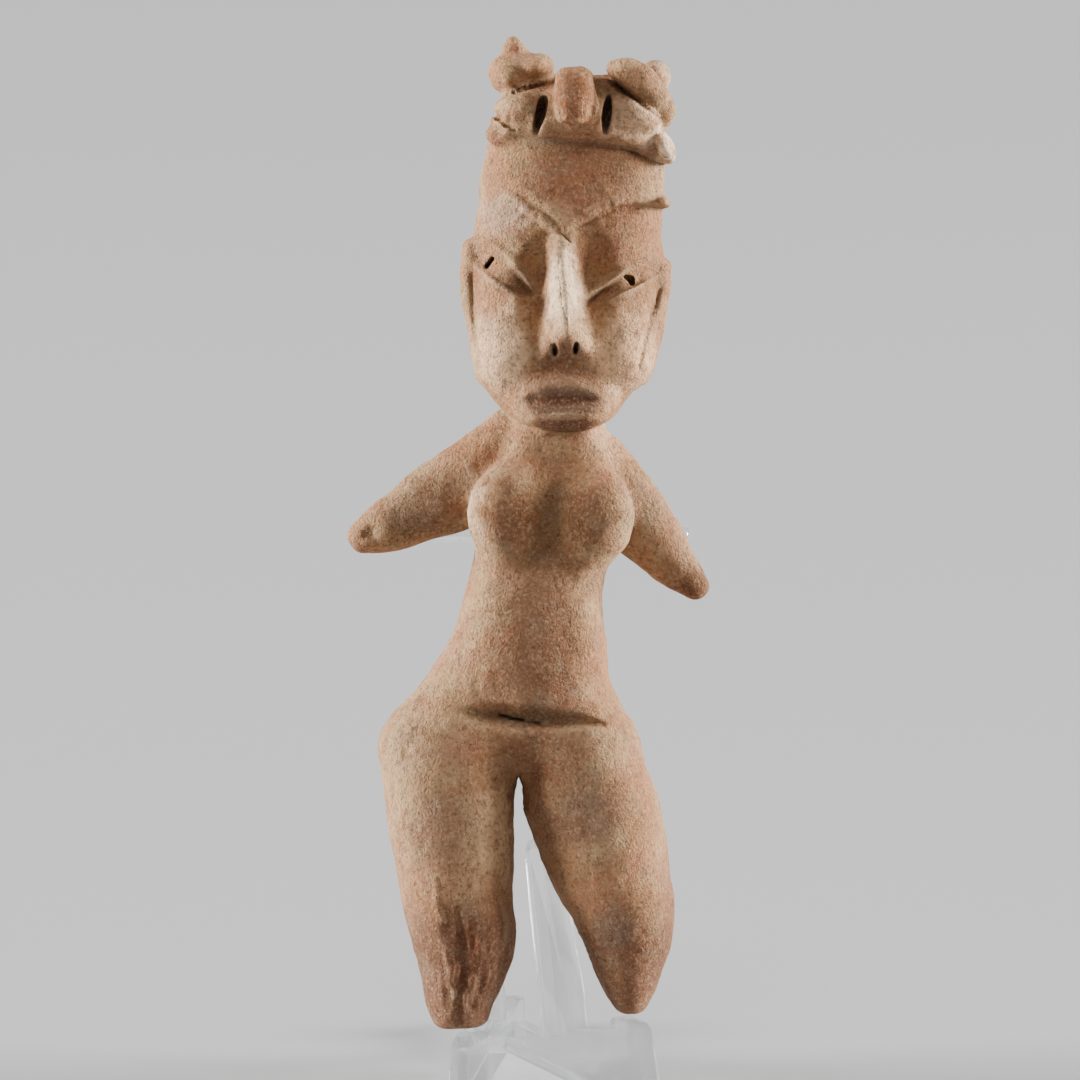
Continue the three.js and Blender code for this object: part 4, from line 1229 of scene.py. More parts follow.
def spread_lines(*spans: tuple[float, float, float]) -> np.ndarray:
    """Make grid lines of several spacings, with whole blocks in each stretch.

    Args:
        spans: Start, end and widest spacing of each stretch, in mm, in order.

    Returns:
        The lines' places, in mm.
    """
    lines = [spans[0][0]]
    for start, end, cell in spans:
        steps = BLOCK * math.ceil((end - start) / cell / BLOCK)
        lines += list(np.linspace(start, end, steps + 1)[1:])
    return np.array(lines)


def hex_colour(text: str) -> tuple[float, float, float, float]:
    """Turn an sRGB hex colour into the linear values that shaders use.

    Args:
        text: Six hex digits.

    Returns:
        Linear red, green and blue, and an opacity of 1.
    """
    parts = [int(text[i : i + 2], 16) / 255 for i in (0, 2, 4)]
    linear = [c / 12.92 if c <= 0.04045 else ((c + 0.055) / 1.055) ** 2.4 for c in parts]
    return (*linear, 1.0)


def add_node(
    tree: Tree, kind: str, links: dict[str | int, object] | None = None, **settings: object
) -> bpy.types.Node:
    """Add one shader node.

    Args:
        tree: The material's node tree.
        kind: The node's type name without its ShaderNode prefix.
        links: What each input gets: another node's output, or a plain value.
        settings: The node's own properties.

    Returns:
        The new node.
    """
    node = tree.nodes.new("ShaderNode" + kind)
    for name, value in settings.items():
        setattr(node, name, value)
    for name, value in (links or {}).items():
        if isinstance(value, Socket):
            tree.links.new(value, node.inputs[name])
        else:
            node.inputs[name].default_value = value
    return node


def empty_material(name: str) -> bpy.types.Material:
    """Make a material whose node tree is empty.

    Args:
        name: The new material's name.

    Returns:
        The new material.
    """
    material = bpy.data.materials.new(name)
    material.use_nodes = True
    material.node_tree.nodes.clear()
    return material


def coat(tree: Tree, links: dict[str | int, object]) -> None:
    """Give a material its surface shader with these inputs."""
    shader = add_node(tree, "BsdfPrincipled", links)
    add_node(tree, "OutputMaterial", {"Surface": shader.outputs["BSDF"]})


@dataclass(frozen=True)
class Patch:
    """A place of colour, which on some patches is the clay's own and on others painted shade or painted
    light: centre and radii in mm, sRGB hex colour and strength.

    A steady patch keeps its outline; the edge of any other wanders at random.
    """

    centre: tuple[float, float, float]
    radii: tuple[float, float, float]
    colour: str
    strength: float
    steady: bool = False

    @property
    def edge(self) -> float:
        """Share of the radius over which the patch fades in."""
        return 0.4 if self.steady else 0.6


@dataclass(frozen=True)
class Grain:
    """A random pattern: its size in mm, the levels between which it fades in, and its fineness."""

    size: float
    low: float
    high: float
    detail: float


@dataclass(frozen=True)
class Speckle(Grain):
    """A random pattern with an sRGB hex colour and that colour's strength."""

    colour: str
    strength: float


@dataclass(frozen=True)
class FiredClay:
    """Low-fired earthenware, smoothed by hand while damp and worn since.

    It gives the eye a dry, sandy, matt skin in tan, pink and orange-brown, with pale bare places,
    grey fire clouds, and dark specks and pits of the size of coarse sand. Some patches are painted
    shade and painted light rather than the clay's colour. Sizes, heights and the reach of a patch's
    ragged edge are in mm, and the painted crevice shade and ridge highlight are (attribute, sRGB hex
    colour, strength).
    """

    name: str = "fired_clay"
    body: str = "ac7c54"
    buff: Speckle = Speckle(13.0, 0.38, 0.62, 3.0, "be9a70", 1.0)
    pink: Speckle = Speckle(4.5, 0.40, 0.66, 4.0, "ac7153", 0.6)
    blotches: tuple[Speckle, ...] = (
        Speckle(2.7, 0.50, 0.69, 3.5, "8c5837", 0.42),
        Speckle(3.6, 0.50, 0.69, 3.5, "8c745a", 0.40),
    )
    grains: tuple[Speckle, ...] = (
        Speckle(0.51, 0.46, 0.74, 4.0, "d6b692", 0.36),
        Speckle(0.68, 0.46, 0.72, 4.0, "63442f", 0.6),
    )
    pits: Speckle = Speckle(0.45, 0.62, 0.67, 2.0, "3a2c22", 0.6)
    pit_fields: Grain = Grain(6.3, 0.38, 0.62, 2.0)
    # Painted shade darkens crevices and painted highlight lightens ridges
    crevice_shade_ridge_highlight: tuple[tuple[str, str, float], ...] = (("crevice", "4d3626", 0.5), ("ridge", "d6b692", 0.22))
    pattern_roughness: float = 0.6
    wander_size: float = 5.0
    wander_reach: float = 9.0
    sand_size: float = 0.34
    sand_height: float = 0.52
    lump_size: float = 1.088
    lump_height: float = 0.34
    pit_depth: float = 0.12
    roughness: float = 0.86
    roughness_swing: float = 0.07
    ior: float = 1.5
    gloss: float = 0.2
    patches: tuple[Patch, ...] = (
        Patch((5.5, -14.0, 113.5), (5.0, 8.0, 9.5), "fbd8b0", 0.90),
        # Painted shade on the underside of the nose
        Patch((5.6, -14.0, 102.6), (4.8, 5.0, 3.4), "7c5842", 0.75, True),
        Patch((-3.5, -9.0, 124.5), (5.5, 8.0, 4.0), "c4a488", 0.60),
        # Painted shade in the bed of the left eye
        Patch((-1.8, -9.5, 114.4), (4.2, 5.0, 3.0), "604834", 0.60, True),
        # Painted shade in the bed of the right eye
        Patch((13.2, -9.5, 113.2), (4.4, 5.0, 2.2), "a98565", 0.50, True),
        # Painted shade inside the left slit of the headdress
        Patch((1.9, -8.8, 140.1), (1.3, 2.6, 4.4), "1e130c", 0.85, True),
        # Painted shade inside the right slit of the headdress
        Patch((12.1, -8.8, 140.2), (1.3, 2.6, 4.4), "1e130c", 0.85, True),
        Patch((17.2, -11.0, 144.6), (5.5, 5.0, 4.5), "8a5a3b", 0.65),
        # Pale cheek colour, lightened further as painted light against the shade by the mouth
        Patch((-4.0, -10.0, 103.6), (6.5, 8.0, 9.0), "eec298", 0.85),
        # Pale cheek colour, lightened further as painted light against the shade by the mouth
        Patch((14.0, -10.0, 103.4), (8.0, 9.0, 9.0), "f4c092", 0.92),
        Patch((7.0, -10.0, 131.0), (11.0, 7.0, 7.5), "8c5535", 0.75),
        Patch((7.1, -13.0, 143.0), (4.2, 6.0, 6.0), "7e4829", 0.85),
        # Painted light on the lobe right of the right slit, against the strap's shadow
        Patch((16.0, -11.0, 139.4), (5.5, 7.0, 4.6), "f0c39a", 0.88),
        # Painted light on the bump at the right of the brim
        Patch((20.9, -7.0, 135.0), (4.0, 7.0, 4.2), "ffdcb8", 0.95),
        Patch((19.8, 0.0, 146.0), (4.0, 6.0, 4.0), "e8ccb0", 0.90),
        # Painted shade under the raised right rim of the cap
        Patch((15.0, -9.0, 123.0), (7.0, 8.0, 5.0), "925c3e", 0.65),
        # Darker lips: lip colour with painted shade over the mouth
        Patch((5.5, -14.0, 98.0), (9.0, 9.0, 7.0), "7e5236", 0.80, True),
        # Painted shade in the mouth under the upper lip
        Patch((5.1, -13.5, 95.8), (7.4, 5.0, 3.2), "4e240c", 0.88, True),
        # Painted shade under the lower lip
        Patch((5.4, -12.0, 91.8), (7.0, 7.0, 2.8), "562c16", 0.82, True),
        # Painted highlight along the upward-facing edge of the lower lip
        Patch((5.4, -13.5, 93.8), (4.4, 4.0, 0.8), "a97f5f", 0.60, True),
        Patch((-13.0, -4.0, 79.0), (12.0, 8.0, 8.0), "785a44", 0.72),
        Patch((26.0, -2.0, 68.0), (5.0, 6.0, 5.0), "74482e", 0.88),
        # Painted shadow under the right side of the brim
        Patch((16.5, -8.0, 131.6), (5.0, 8.0, 5.0), "8c6446", 0.55),
        Patch((-5.4, -9.0, 31.0), (5.2, 8.0, 10.0), "dcae84", 0.80),
        Patch((23.0, -4.0, 19.0), (6.5, 9.0, 11.0), "8a5e44", 0.75),
        # Painted shade on the front-facing chest
        Patch((3.5, -8.0, 79.0), (10.0, 8.0, 14.0), "80522f", 0.60),
        # Painted highlight on the outer rim of the left breast
        Patch((-8.6, -5.0, 79.5), (2.8, 6.0, 8.0), "f2cba4", 0.85),
        Patch((12.0, -2.0, 91.0), (5.0, 8.0, 8.0), "dcb088", 0.60),
        # Painted light in the valley between the breasts
        Patch((3.4, -10.0, 84.0), (3.0, 4.0, 6.0), "b07c54", 0.50),
        # Painted shade on the front of the left breast
        Patch((-2.8, -11.0, 78.6), (5.2, 4.0, 8.6), "643a20", 0.68),
        # Painted shade on the front of the right breast
        Patch((9.6, -11.0, 78.4), (6.0, 4.0, 8.4), "643a20", 0.72),
        Patch((17.0, -4.0, 79.0), (6.0, 7.0, 6.0), "92785c", 0.55),
        # Painted shade on the front-facing belly
        Patch((1.6, -10.0, 60.0), (10.0, 8.0, 20.0), "70462c", 0.80),
        Patch((-17.0, -6.0, 42.0), (7.0, 12.0, 9.0), "a58467", 0.55),
        # Painted shade on the front of the lower belly
        Patch((2.0, -12.0, 42.0), (13.0, 8.0, 7.0), "7e5035", 0.70),
        # Grey dirt in the belly gouge, darkened further as painted shade
        Patch((-0.2, -11.0, 48.0), (11.0, 5.0, 1.9), "6a543e", 0.65),
        Patch((-13.0, -10.0, 31.0), (8.0, 10.0, 9.0), "84664e", 0.60),
        Patch((-10.0, -8.0, 7.0), (19.0, 22.0, 19.0), "78503a", 0.88),
        Patch((-9.4, -10.0, 12.0), (3.6, 8.0, 8.5), "84492f", 0.70),
        Patch((9.0, -9.0, 33.0), (9.0, 9.0, 10.0), "705340", 0.70),
        Patch((15.5, -8.0, 6.0), (18.0, 22.0, 18.0), "744a33", 0.88),
        Patch((13.0, -12.0, 15.0), (6.0, 6.0, 5.0), "84705f", 0.50),
        # Painted shade on the outer side of the left shin, against the side light
        Patch((-18.0, -6.0, 7.0), (5.0, 12.0, 13.0), "6e4a36", 0.80),
        # Painted shade on the outer side of the right shin, against the side light
        Patch((22.5, -6.0, 9.0), (6.0, 12.0, 10.0), "6e4a34", 0.75),
    )

    def build(self, place: Vector, lean: float) -> bpy.types.Material:
        """Build the material.

        Args:
            place: Where the figurine's own origin lies, in metres.
            lean: How far the figurine leans back, in degrees.

        Returns:
            The finished material.
        """
        material = empty_material(self.name)
        tree = material.node_tree
        links = {
            "Vector": add_node(tree, "TexCoord").outputs["Object"],
            "Location": place,
            "Rotation": (-math.radians(lean), 0, 0),
            "Scale": (MILLIMETRE,) * 3,
        }
        spot = add_node(tree, "Mapping", links, vector_type="TEXTURE").outputs["Vector"]
        masks = {0: self._mask(tree, spot, self.pits), 1: self._mask(tree, spot, self.pit_fields)}
        pits = add_node(tree, "Math", masks, operation="MULTIPLY").outputs[0]
        colour = self._mix(tree, self._colour(tree, spot), self.pits.colour, pits, self.pits.strength)
        # Lay painted shade in crevices and painted highlight on ridges
        for name, tint, strength in self.crevice_shade_ridge_highlight:
            painted_light_mask = add_node(tree, "Attribute", attribute_name=name).outputs["Fac"]
            colour = self._mix(tree, colour, tint, painted_light_mask, strength)
        links = {"Vector": spot, "Scale": 1 / self.lump_size, "Detail": 2.0}
        lumps = add_node(tree, "TexNoise", links).outputs["Fac"]
        low, high = self.roughness - self.roughness_swing, self.roughness + self.roughness_swing
        dry = add_node(tree, "MapRange", {"Value": lumps, "To Min": low, "To Max": high})
        links = {
            "Base Color": colour,
            "Roughness": dry.outputs["Result"],
            "Normal": self._relief(tree, spot, lumps, pits),
            "IOR": self.ior,
            "Specular IOR Level": self.gloss,
        }
        coat(tree, links)
        return material

    def _relief(self, tree: Tree, spot: Socket, lumps: Socket, pits: Socket) -> Socket:
        """Add up the heights of the sand, the lumps and the pits.

        Args:
            tree: The material's node tree.
            spot: Socket of the place on the clay, in mm.
            lumps: Socket of the lumps' pattern.
            pits: Socket of the pits' mask.

        Returns:
            Socket of the rough surface's direction.
        """
        links = {"Vector": spot, "Scale": 1 / self.sand_size, "Detail": 3.0, "Roughness": 0.65}
        height = add_node(tree, "TexNoise", links).outputs["Fac"]
        links = {0: height, 1: self.sand_height * MILLIMETRE}
        height = add_node(tree, "Math", links, operation="MULTIPLY").outputs[0]
        for pattern, rise in ((lumps, self.lump_height), (pits, -self.pit_depth)):
            links = {0: pattern, 1: rise * MILLIMETRE, 2: height}
            height = add_node(tree, "Math", links, operation="MULTIPLY_ADD").outputs[0]
        return add_node(tree, "Bump", {"Height": height, "Strength": 1.0, "Distance": 1.0}).outputs["Normal"]

    def _mask(self, tree: Tree, spot: Socket, grain: Grain) -> Socket:
        """Cut a random pattern at its two levels.

        Args:
            tree: The material's node tree.
            spot: Socket of the place on the clay, in mm.
            grain: The pattern.

        Returns:
            Socket of the mask.
        """
        links = {
            "Vector": spot,
            "Scale": 1 / grain.size,
            "Detail": grain.detail,
            "Roughness": self.pattern_roughness,
        }
        noise = add_node(tree, "TexNoise", links)
        links = {"Value": noise.outputs["Fac"], "From Min": grain.low, "From Max": grain.high}
        return add_node(tree, "MapRange", links, interpolation_type="SMOOTHSTEP").outputs["Result"]

    def _mix(self, tree: Tree, under: object, tint: str, mask: Socket, strength: float) -> Socket:
        """Lay one colour over another through a mask.

        Args:
            tree: The material's node tree.
            under: The colour below, as a socket or a value.
            tint: The upper colour, as sRGB hex.
            mask: Socket of the mask.
            strength: The upper colour's share where the mask is full.

        Returns:
            Socket of the mixed colour.
        """
        share = add_node(tree, "Math", {0: mask, 1: strength}, operation="MULTIPLY").outputs[0]
        links = {0: share, 6: under, 7: hex_colour(tint)}
        return add_node(tree, "Mix", links, data_type="RGBA").outputs[2]

    def _speckle(self, tree: Tree, spot: Socket, under: object, speckle: Speckle) -> Socket:
        """Lay one speckle over a colour and return the colour's socket."""
        return self._mix(tree, under, speckle.colour, self._mask(tree, spot, speckle), speckle.strength)

    def _patch(self, tree: Tree, spot: Socket, under: Socket, patch: Patch) -> Socket:
        """Lay one patch over a colour.

        Args:
            tree: The material's node tree.
            spot: Socket of the place on the clay, in mm.
            under: The colour below, as a socket or a value.
            patch: The patch.

        Returns:
            Socket of the mixed colour.
        """
        links = {"Vector": spot, "Location": patch.centre, "Scale": patch.radii}
        local = add_node(tree, "Mapping", links, vector_type="TEXTURE").outputs["Vector"]
        ball = add_node(tree, "TexGradient", {"Vector": local}, gradient_type="SPHERICAL").outputs["Fac"]
        links = {"Value": ball, "From Max": patch.edge}
        edge = add_node(tree, "MapRange", links, interpolation_type="SMOOTHSTEP").outputs["Result"]
        return self._mix(tree, under, patch.colour, edge, patch.strength)

    def _wander(self, tree: Tree, spot: Socket) -> Socket:
        """Shift the places at random, so that patches of colour and of painted shade and light get ragged
        edges.

        Args:
            tree: The material's node tree.
            spot: Socket of the place on the clay, in mm.

        Returns:
            Socket of the shifted places, in mm.
        """
        links = {"Vector": spot, "Scale": 1 / self.wander_size, "Detail": 3.0, "Roughness": 0.7}
        drift = add_node(tree, "TexNoise", links).outputs["Color"]
        centred = add_node(tree, "VectorMath", {0: drift, 1: (0.5,) * 3}, operation="SUBTRACT").outputs[0]
        links = {0: centred, 1: (self.wander_reach,) * 3, 2: spot}
        return add_node(tree, "VectorMath", links, operation="MULTIPLY_ADD").outputs[0]

    def _colour(self, tree: Tree, spot: Socket) -> Socket:
        """Mix the clay's colours and its patches, some of which are painted shade and painted light.

        Args:
            tree: The material's node tree.
            spot: Socket of the place on the clay, in mm.

        Returns:
            Socket of the mixed colour.
        """
        colour = hex_colour(self.body)
        for speckle in (self.buff, self.pink):
            colour = self._speckle(tree, spot, colour, speckle)
        wander = self._wander(tree, spot)
        for patch in self.patches:
            if not patch.steady:
                colour = self._patch(tree, wander, colour, patch)
        for blotch in self.blotches:
            colour = self._speckle(tree, spot, colour, blotch)
        for patch in self.patches:
            if patch.steady:
                colour = self._patch(tree, spot, colour, patch)
        for grain in self.grains:
            colour = self._speckle(tree, spot, colour, grain)
        return colour


@dataclass(frozen=True)
class ClearAcrylic:
    """Cast acrylic sheet and rod with flame-polished edges.

    It is nearly invisible: a faint cool body, bright lines along its edges, and a glossy face.
    """

    name: str = "clear_acrylic"
    colour: str = "f8fafa"
    ior: float = 1.49
    alpha: float = 0.6
    roughness: float = 0.03
    worn_roughness: float = 0.10
    wear_size: float = 9.0

    def build(self) -> bpy.types.Material:
        """Build the material.

        Returns:
            The finished material.
        """
        material = empty_material(self.name)
        tree = material.node_tree
        frame = add_node(tree, "TexCoord").outputs["Object"]
        links = {"Vector": frame, "Scale": 1 / (self.wear_size * MILLIMETRE), "Detail": 4.0}
        smear = add_node(tree, "TexNoise", links).outputs["Fac"]
        links = {"Value": smear, "To Min": self.roughness, "To Max": self.worn_roughness}
        dull = add_node(tree, "MapRange", links)
        links = {
            "Base Color": hex_colour(self.colour),
            "Roughness": dull.outputs["Result"],
            "IOR": self.ior,
            "Transmission Weight": 1.0,
            "Alpha": self.alpha,
        }
        coat(tree, links)
        return material


@dataclass(frozen=True)
class PaperSweep:
    """Matt white background paper, which the eye reads as an even pale floor."""

    name: str = "white_background_paper"
    colour: str = "bcbcbc"
    roughness: float = 0.9

    def build(self) -> bpy.types.Material:
        """Build the material.

        Returns:
            The finished material.
        """
        material = empty_material(self.name)
        coat(material.node_tree, {"Base Color": hex_colour(self.colour), "Roughness": self.roughness})
        return material


def add_object(name: str, data: bpy.types.ID) -> bpy.types.Object:
    """Make an object of the data and link it to the scene.

    Args:
        name: The new object's name.
        data: The mesh, lamp or camera.

    Returns:
        The new object.
    """
    made = bpy.data.objects.new(name, data)
    bpy.context.scene.collection.objects.link(made)
    return made


def mesh_object(name: str, points: np.ndarray, faces: Sequence[Sequence[int]]) -> bpy.types.Object:
    """Make a smooth-shaded mesh object and link it.

    Args:
        name: The piece's name.
        points: Points in metres.
        faces: Rows of point numbers.

    Returns:
        The new object.
    """
    mesh = bpy.data.meshes.new(name)
    mesh.from_pydata(points.tolist(), [], [list(map(int, face)) for face in faces])
    mesh.validate()
    mesh.shade_smooth()
    return add_object(name, mesh)


@dataclass
class Figurine:
    """The clay figurine, leaning back about its feet.

    The mesh is drawn onto the modelled form in rounds, each point by a limit at most, in mm, and as if
    the slope there were no flatter than the flattest. Crevices and ridges, which carry painted shade and
    painted highlight, are felt at a distance, in mm; each kind starts at a share of it and has its own
    gain.
    """

    place: Vector
    lean: float = 12.0
    rounds: int = 2
    limit: float = 0.25
    flattest: float = 0.25
    clay_triangles: int = 190000
    feel: float = 0.7
    crevice: tuple[float, float] = (0.70, 1.4)
    ridge: tuple[float, float] = (0.80, 2.0)
    surface: Surface = field(default_factory=Surface)
    finish: FiredClay = field(default_factory=FiredClay)

    @property
    def turn(self) -> np.ndarray:
        """Rotation from the figurine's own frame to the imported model's."""
        return np.array(Euler((-math.radians(self.lean), 0, 0)).to_matrix())

    def model(self) -> Clay:
        """Join the body, the head and the headdress, and sink the foot of the brim.

        Returns:
            The figurine's clay.
        """
        body = BodyClay().model()
        clay = Clay(body).join(0.6, HeadClay().model()).join(1.8, HeaddressClay().model())
        brim_foot = [
            (-2.6, 136.9, 0.2),
            (4.0, 136.4, 0.5),
            (11.2, 135.6, 0.6),
            (16.0, 134.4, 0.6),
            (20.4, 132.6, 0.3),
        ]
        return clay.sink(0.5, 1.4, Band(brim_foot))

    def build(self) -> bpy.types.Object:
        """Make the figurine's mesh with its fine relief.

        Returns:
            The new object.
        """
        form = self.model()
        across = spread_lines(
            (-30, -11.5, 0.6), (-11.5, -7, 0.36), (-7, 18, 0.25), (18, 23.5, 0.36), (23.5, 30, 0.6)
        )
        deep = spread_lines((-20, -16.5, 0.6), (-16.5, -7, 0.28), (-7, 17, 0.6))
        up = spread_lines((-3, 91, 0.6), (91, 122, 0.26), (122, 154.5, 0.3))
        points, faces = Skinner((across, deep, up)).skin(form)
        for _ in range(self.rounds):
            away, direction = slope(form, points)
            steep = np.maximum((direction**2).sum(1), self.flattest)
            step = np.clip(away / steep, -self.limit, self.limit)
            points = points - step[:, None] * direction
        _, direction = slope(form, points)
        direction /= np.linalg.norm(direction, axis=1)[:, None] + 1e-9
        points = points + self.surface.offset(points)[:, None] * direction
        piece = mesh_object("clay_figurine", self.to_frame(points), faces)
        self.thin(piece)
        self.mark_shade_and_highlight(piece, form)
        return piece

    def to_frame(self, points: np.ndarray) -> np.ndarray:
        """Turn places in the figurine's own frame, in mm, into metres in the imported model's frame."""
        return points @ self.turn.T * MILLIMETRE + np.array(self.place)

    def from_frame(self, points: np.ndarray) -> np.ndarray:
        """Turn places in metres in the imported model's frame into the figurine's own frame, in mm."""
        return (points - np.array(self.place)) @ self.turn / MILLIMETRE

    def thin(self, piece: bpy.types.Object) -> None:
        """Merge the points that matter least until the mesh keeps to its triangle count.

        Args:
            piece: The figurine's object.
        """
        triangles = sum(len(face.vertices) - 2 for face in piece.data.polygons)
        if triangles > self.clay_triangles:
            modifier = piece.modifiers.new("thin", "DECIMATE")
            modifier.ratio = self.clay_triangles / triangles
            evaluated = piece.evaluated_get(bpy.context.evaluated_depsgraph_get())
            mesh = bpy.data.meshes.new_from_object(evaluated)
            piece.modifiers.clear()
            piece.data = mesh
        piece.data.shade_smooth()
        LOG.info("clay skin has %d triangles, %d before thinning", len(piece.data.polygons), triangles)

    def mark_shade_and_highlight(self, piece: bpy.types.Object, form: Form) -> None:
        """Store how deep each point lies in a crevice and how far it stands on a ridge, for painted shade
        and highlight.

        Args:
            piece: The figurine's object.
            form: The modelled form, without its relief.
        """
        mesh = piece.data
        places, normals = np.empty(len(mesh.vertices) * 3), np.empty(len(mesh.vertices) * 3)
        mesh.vertices.foreach_get("co", places)
        mesh.vertices.foreach_get("normal", normals)
        places = self.from_frame(places.reshape(-1, 3))
        normals = normals.reshape(-1, 3) @ self.turn
        here = form.distance(places)
        outward = (form.distance(places + self.feel * normals) - here) / self.feel
        inward = (here - form.distance(places - self.feel * normals)) / self.feel
        # Crevice values drive the painted shade and ridge values the painted highlight
        for name, rise, (start, gain) in (("crevice", outward, self.crevice), ("ridge", inward, self.ridge)):
            values = np.clip((start - rise) * gain, 0, 1)
            attribute = mesh.attributes.new(name, "FLOAT", "POINT")
            attribute.data.foreach_set("value", values.astype(np.float32))

    def dress(self, piece: bpy.types.Object) -> None:
        """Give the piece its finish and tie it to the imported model.

        Args:
            piece: The figurine's object.
        """
        piece.data.materials.clear()
        piece.data.materials.append(self.finish.build(self.place, self.lean))
        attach(piece, "root")
        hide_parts("figurine")


@dataclass
class Stand:
    """Two slotted plates of clear sheet and a cross rod, with lengths in mm and angles in degrees."""

    edge: float = 0.25
    edge_steps: int = 3
    weld: float = 0.001
    flat_angle: float = 1.0
    edge_angle: float = 30.0
    shading_angle: float = 35.0
    rod_sides: int = 48
    rod_end_steps: int = 10
    finish: ClearAcrylic = field(default_factory=ClearAcrylic)

    def plate(self, node: bpy.types.Object, name: str) -> bpy.types.Object:
        """Remake a plate from its packed outline with eased edges.

        Args:
            node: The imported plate.
            name: The new piece's name.

        Returns:
            The new piece.
        """
        work = bmesh.new()
        work.from_mesh(node.data)
        bmesh.ops.remove_doubles(work, verts=work.verts, dist=self.weld * MILLIMETRE)
        flat = math.radians(self.flat_angle)
        bmesh.ops.dissolve_limit(work, angle_limit=flat, verts=work.verts, edges=work.edges)
        sharp = [edge for edge in work.edges if edge.calc_face_angle(0) > math.radians(self.edge_angle)]
        width, steps = self.edge * MILLIMETRE, self.edge_steps
        bmesh.ops.bevel(work, geom=sharp, offset=width, segments=steps, profile=0.5, affect="EDGES")
        mesh = bpy.data.meshes.new(name)
        work.to_mesh(mesh)
        work.free()
        mesh.shade_smooth()
        mesh.set_sharp_from_angle(angle=math.radians(self.shading_angle))
        return add_object(name, mesh)

    def rod(self, low: Vector, high: Vector) -> bpy.types.Object:
        """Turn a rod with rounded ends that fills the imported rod's box.

        Args:
            low: The box's lowest corner, in metres.
            high: The box's highest corner, in metres.

        Returns:
            The new piece.
        """
        radius = (high.z - low.z) / 2
        ends = [math.pi / 2 * step / self.rod_end_steps for step in range(1, self.rod_end_steps + 1)]
        profile = [(low.x + radius * (1 - math.cos(a)), radius * math.sin(a)) for a in ends]
        profile += [(high.x - radius * (1 - math.cos(a)), radius * math.sin(a)) for a in reversed(ends)]
        middle_y, middle_z = (low.y + high.y) / 2, (low.z + high.z) / 2
        points = [(low.x, middle_y, middle_z), (high.x, middle_y, middle_z)]
        for x, r in profile:
            for side in range(self.rod_sides):
                angle = 2 * math.pi * side / self.rod_sides
                points.append((x, middle_y + r * math.cos(angle), middle_z + r * math.sin(angle)))
        faces = []
        last = 2 + (len(profile) - 1) * self.rod_sides
        for side in range(self.rod_sides):
            after = (side + 1) % self.rod_sides
            faces.append((0, 2 + after, 2 + side))
            faces.append((1, last + side, last + after))
            for ring in range(len(profile) - 1):
                start = 2 + ring * self.rod_sides
                end = start + self.rod_sides
                faces.append((start + side, start + after, end + after, end + side))
        return mesh_object("acrylic_cross_rod", np.array(points), faces)

    def build(self, nodes: dict[str, bpy.types.Object]) -> dict[str, bpy.types.Object]:
        """Make the stand's pieces.

        Args:
            nodes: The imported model's nodes by name.

        Returns:
            The new pieces by the name of the node each one replaces.
        """
        names = ("left_stand_plate", "right_stand_plate")
        pieces = {name: self.plate(nodes[name], "acrylic_" + name) for name in names}
        pieces["cross_rod"] = self.rod(*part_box("cross_rod"))
        return pieces

    def dress(self, pieces: dict[str, bpy.types.Object]) -> None:
        """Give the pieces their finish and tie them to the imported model.

        Args:
            pieces: The stand's pieces by the name of the node each one replaces.
        """
        material = self.finish.build()
        for node, piece in pieces.items():
            piece.data.materials.clear()
            piece.data.materials.append(material)
            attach(piece, "root")
            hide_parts(node)


@dataclass(frozen=True)
class Softbox:
    """A square studio light: its name, where it stands, its side and its power, in metres and watts."""

    name: str
    place: tuple[float, float, float]
    side: float
    power: float


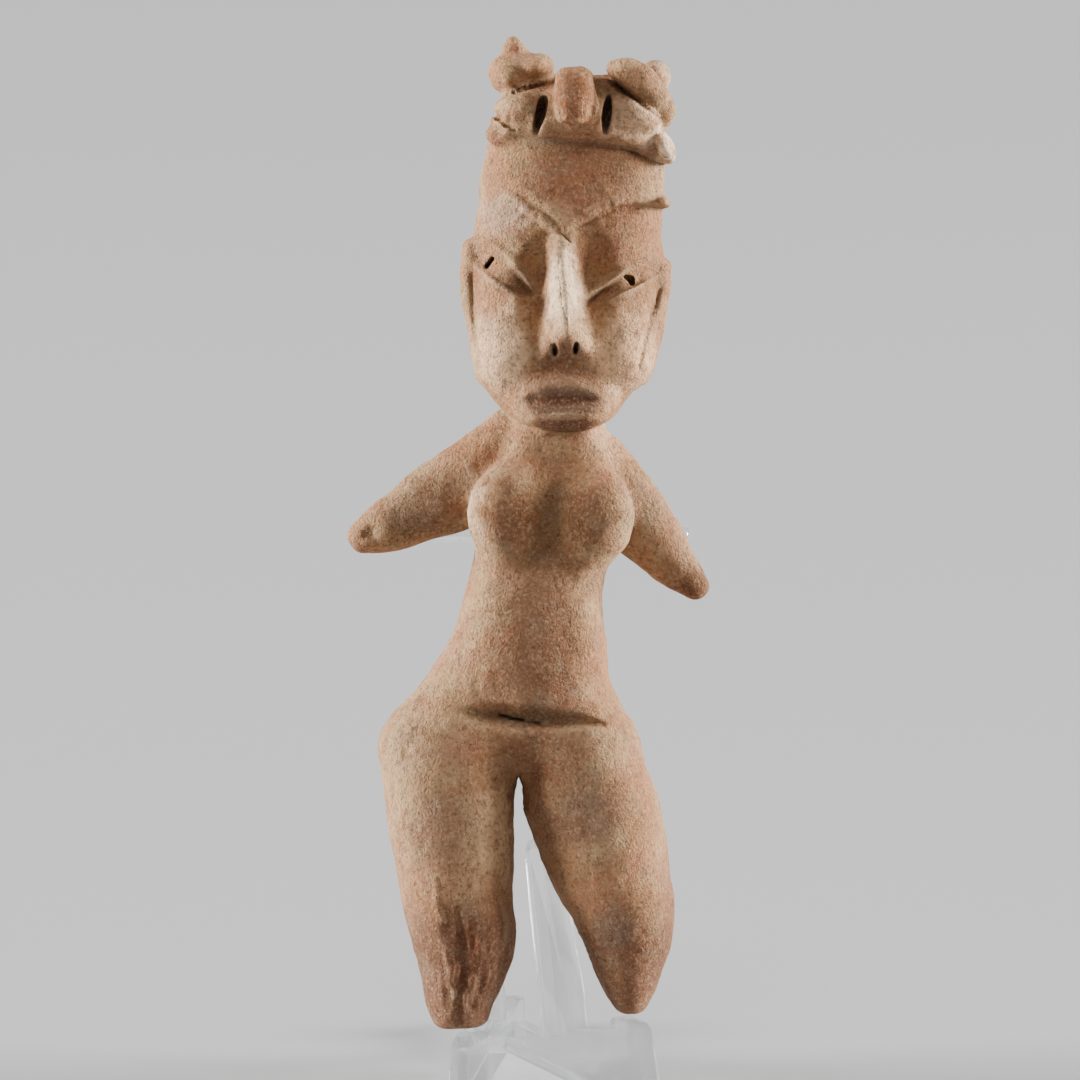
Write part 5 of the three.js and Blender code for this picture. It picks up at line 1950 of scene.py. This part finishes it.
@dataclass
class Studio:
    """Pale floor, soft lights and the camera.

    Lengths are metres, the picture's width, its middle and the sensor's width are mm, and the lamps'
    spread is in degrees.
    """

    floor_half: float = 4.0
    world_colour: str = "d8dade"
    world_strength: float = 0.01
    glass_strength: float = 1.7
    camera_distance: float = 2.6
    picture_width: float = 165.8
    sensor: float = 36.0
    nearest: float = 0.01
    lamp_spread: float = 120.0
    picture_middle: tuple[float, float, float] = (1.84, 0.0, 74.93)
    lights: tuple[Softbox, ...] = (
        Softbox("left_softbox", (-4.42, 0.15, 0.98), 1.80, 330.0),
        Softbox("right_softbox", (4.42, 0.30, 0.98), 1.80, 341.0),
        Softbox("top_softbox", (0.0, -0.25, 0.95), 0.30, 0.8),
    )

    def build(self, figurine: Figurine) -> None:
        """Lay the floor, hang the lights and set up the camera.

        Args:
            figurine: The figurine that the camera looks at.
        """
        self.floor()
        middle = Vector(figurine.to_frame(np.array([self.picture_middle]))[0])
        for light in self.lights:
            self.hang(light, middle)
        world = bpy.data.worlds.new("studio")
        world.use_nodes = True
        background = world.node_tree.nodes["Background"]
        background.inputs["Color"].default_value = hex_colour(self.world_colour)
        matt = add_node(world.node_tree, "LightPath").outputs["Is Diffuse Ray"]
        links = {"Value": matt, "To Min": self.glass_strength, "To Max": self.world_strength}
        strength = add_node(world.node_tree, "MapRange", links).outputs["Result"]
        world.node_tree.links.new(strength, background.inputs["Strength"])
        bpy.context.scene.world = world
        self.camera(middle, figurine.lean)

    def floor(self) -> None:
        """Lay the pale floor."""
        half = self.floor_half
        corners = np.array([(-half, -half, 0), (half, -half, 0), (half, half, 0), (-half, half, 0)])
        floor = mesh_object("studio_floor", corners, [(0, 1, 2, 3)])
        floor.data.materials.append(PaperSweep().build())

    def hang(self, light: Softbox, target: Vector) -> None:
        """Hang one softbox and aim it.

        Args:
            light: The softbox.
            target: The place it aims at, in metres.
        """
        lamp = bpy.data.lights.new(light.name, "AREA")
        lamp.shape = "SQUARE"
        lamp.size = light.side
        lamp.energy = light.power
        lamp.spread = math.radians(self.lamp_spread)
        holder = add_object(light.name, lamp)
        holder.location = light.place
        holder.rotation_euler = (target - Vector(light.place)).to_track_quat("-Z", "Y").to_euler()

    def camera(self, target: Vector, elevation: float) -> None:
        """Set up a long lens square to the leaning figurine's front.

        Args:
            target: The place it aims at, in metres.
            elevation: How far the camera looks down, in degrees.
        """
        lens = bpy.data.cameras.new("photo_camera")
        lens.sensor_width = self.sensor
        lens.lens = self.sensor * self.camera_distance / (self.picture_width * MILLIMETRE)
        lens.clip_start = self.nearest
        camera = add_object("photo_camera", lens)
        rise = math.radians(elevation)
        back = Vector((0, -math.cos(rise), math.sin(rise)))
        camera.location = target + back * self.camera_distance
        camera.rotation_euler = (-back).to_track_quat("-Z", "Y").to_euler()
        bpy.context.scene.camera = camera


@dataclass(frozen=True)
class RodPlace:
    """Where the cross rod lies, in mm, which ties the figurine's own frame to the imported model's.

    Start, end and back are measured from the figurine's own origin, and the rod's height and the
    origin's, which is the foot height, from the floor.
    """

    start: float = -15.8
    end: float = 24.9
    back: float = 24.83
    height: float = 84.4
    foot_height: float = 12.1

    def origin(self) -> Vector:
        """Find the figurine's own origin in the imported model's frame.

        Returns:
            The origin, in metres.
        """
        low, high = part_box("cross_rod")
        middle = (low + high) / 2
        own = Vector(((self.start + self.end) / 2, self.back, self.height - self.foot_height)) * MILLIMETRE
        return middle - own


def main() -> None:
    """Build the figurine, its stand and the studio."""
    logging.basicConfig(level=logging.INFO, format="%(name)s: %(message)s")
    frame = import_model()
    figurine = Figurine(RodPlace().origin())
    piece = figurine.build()
    figurine.dress(piece)
    LOG.info("built %s", piece.name)
    stand = Stand()
    pieces = stand.build(frame["nodes"])
    stand.dress(pieces)
    for built in pieces.values():
        LOG.info("built %s", built.name)
    Studio().build(figurine)


if __name__ == "__main__":
    main()
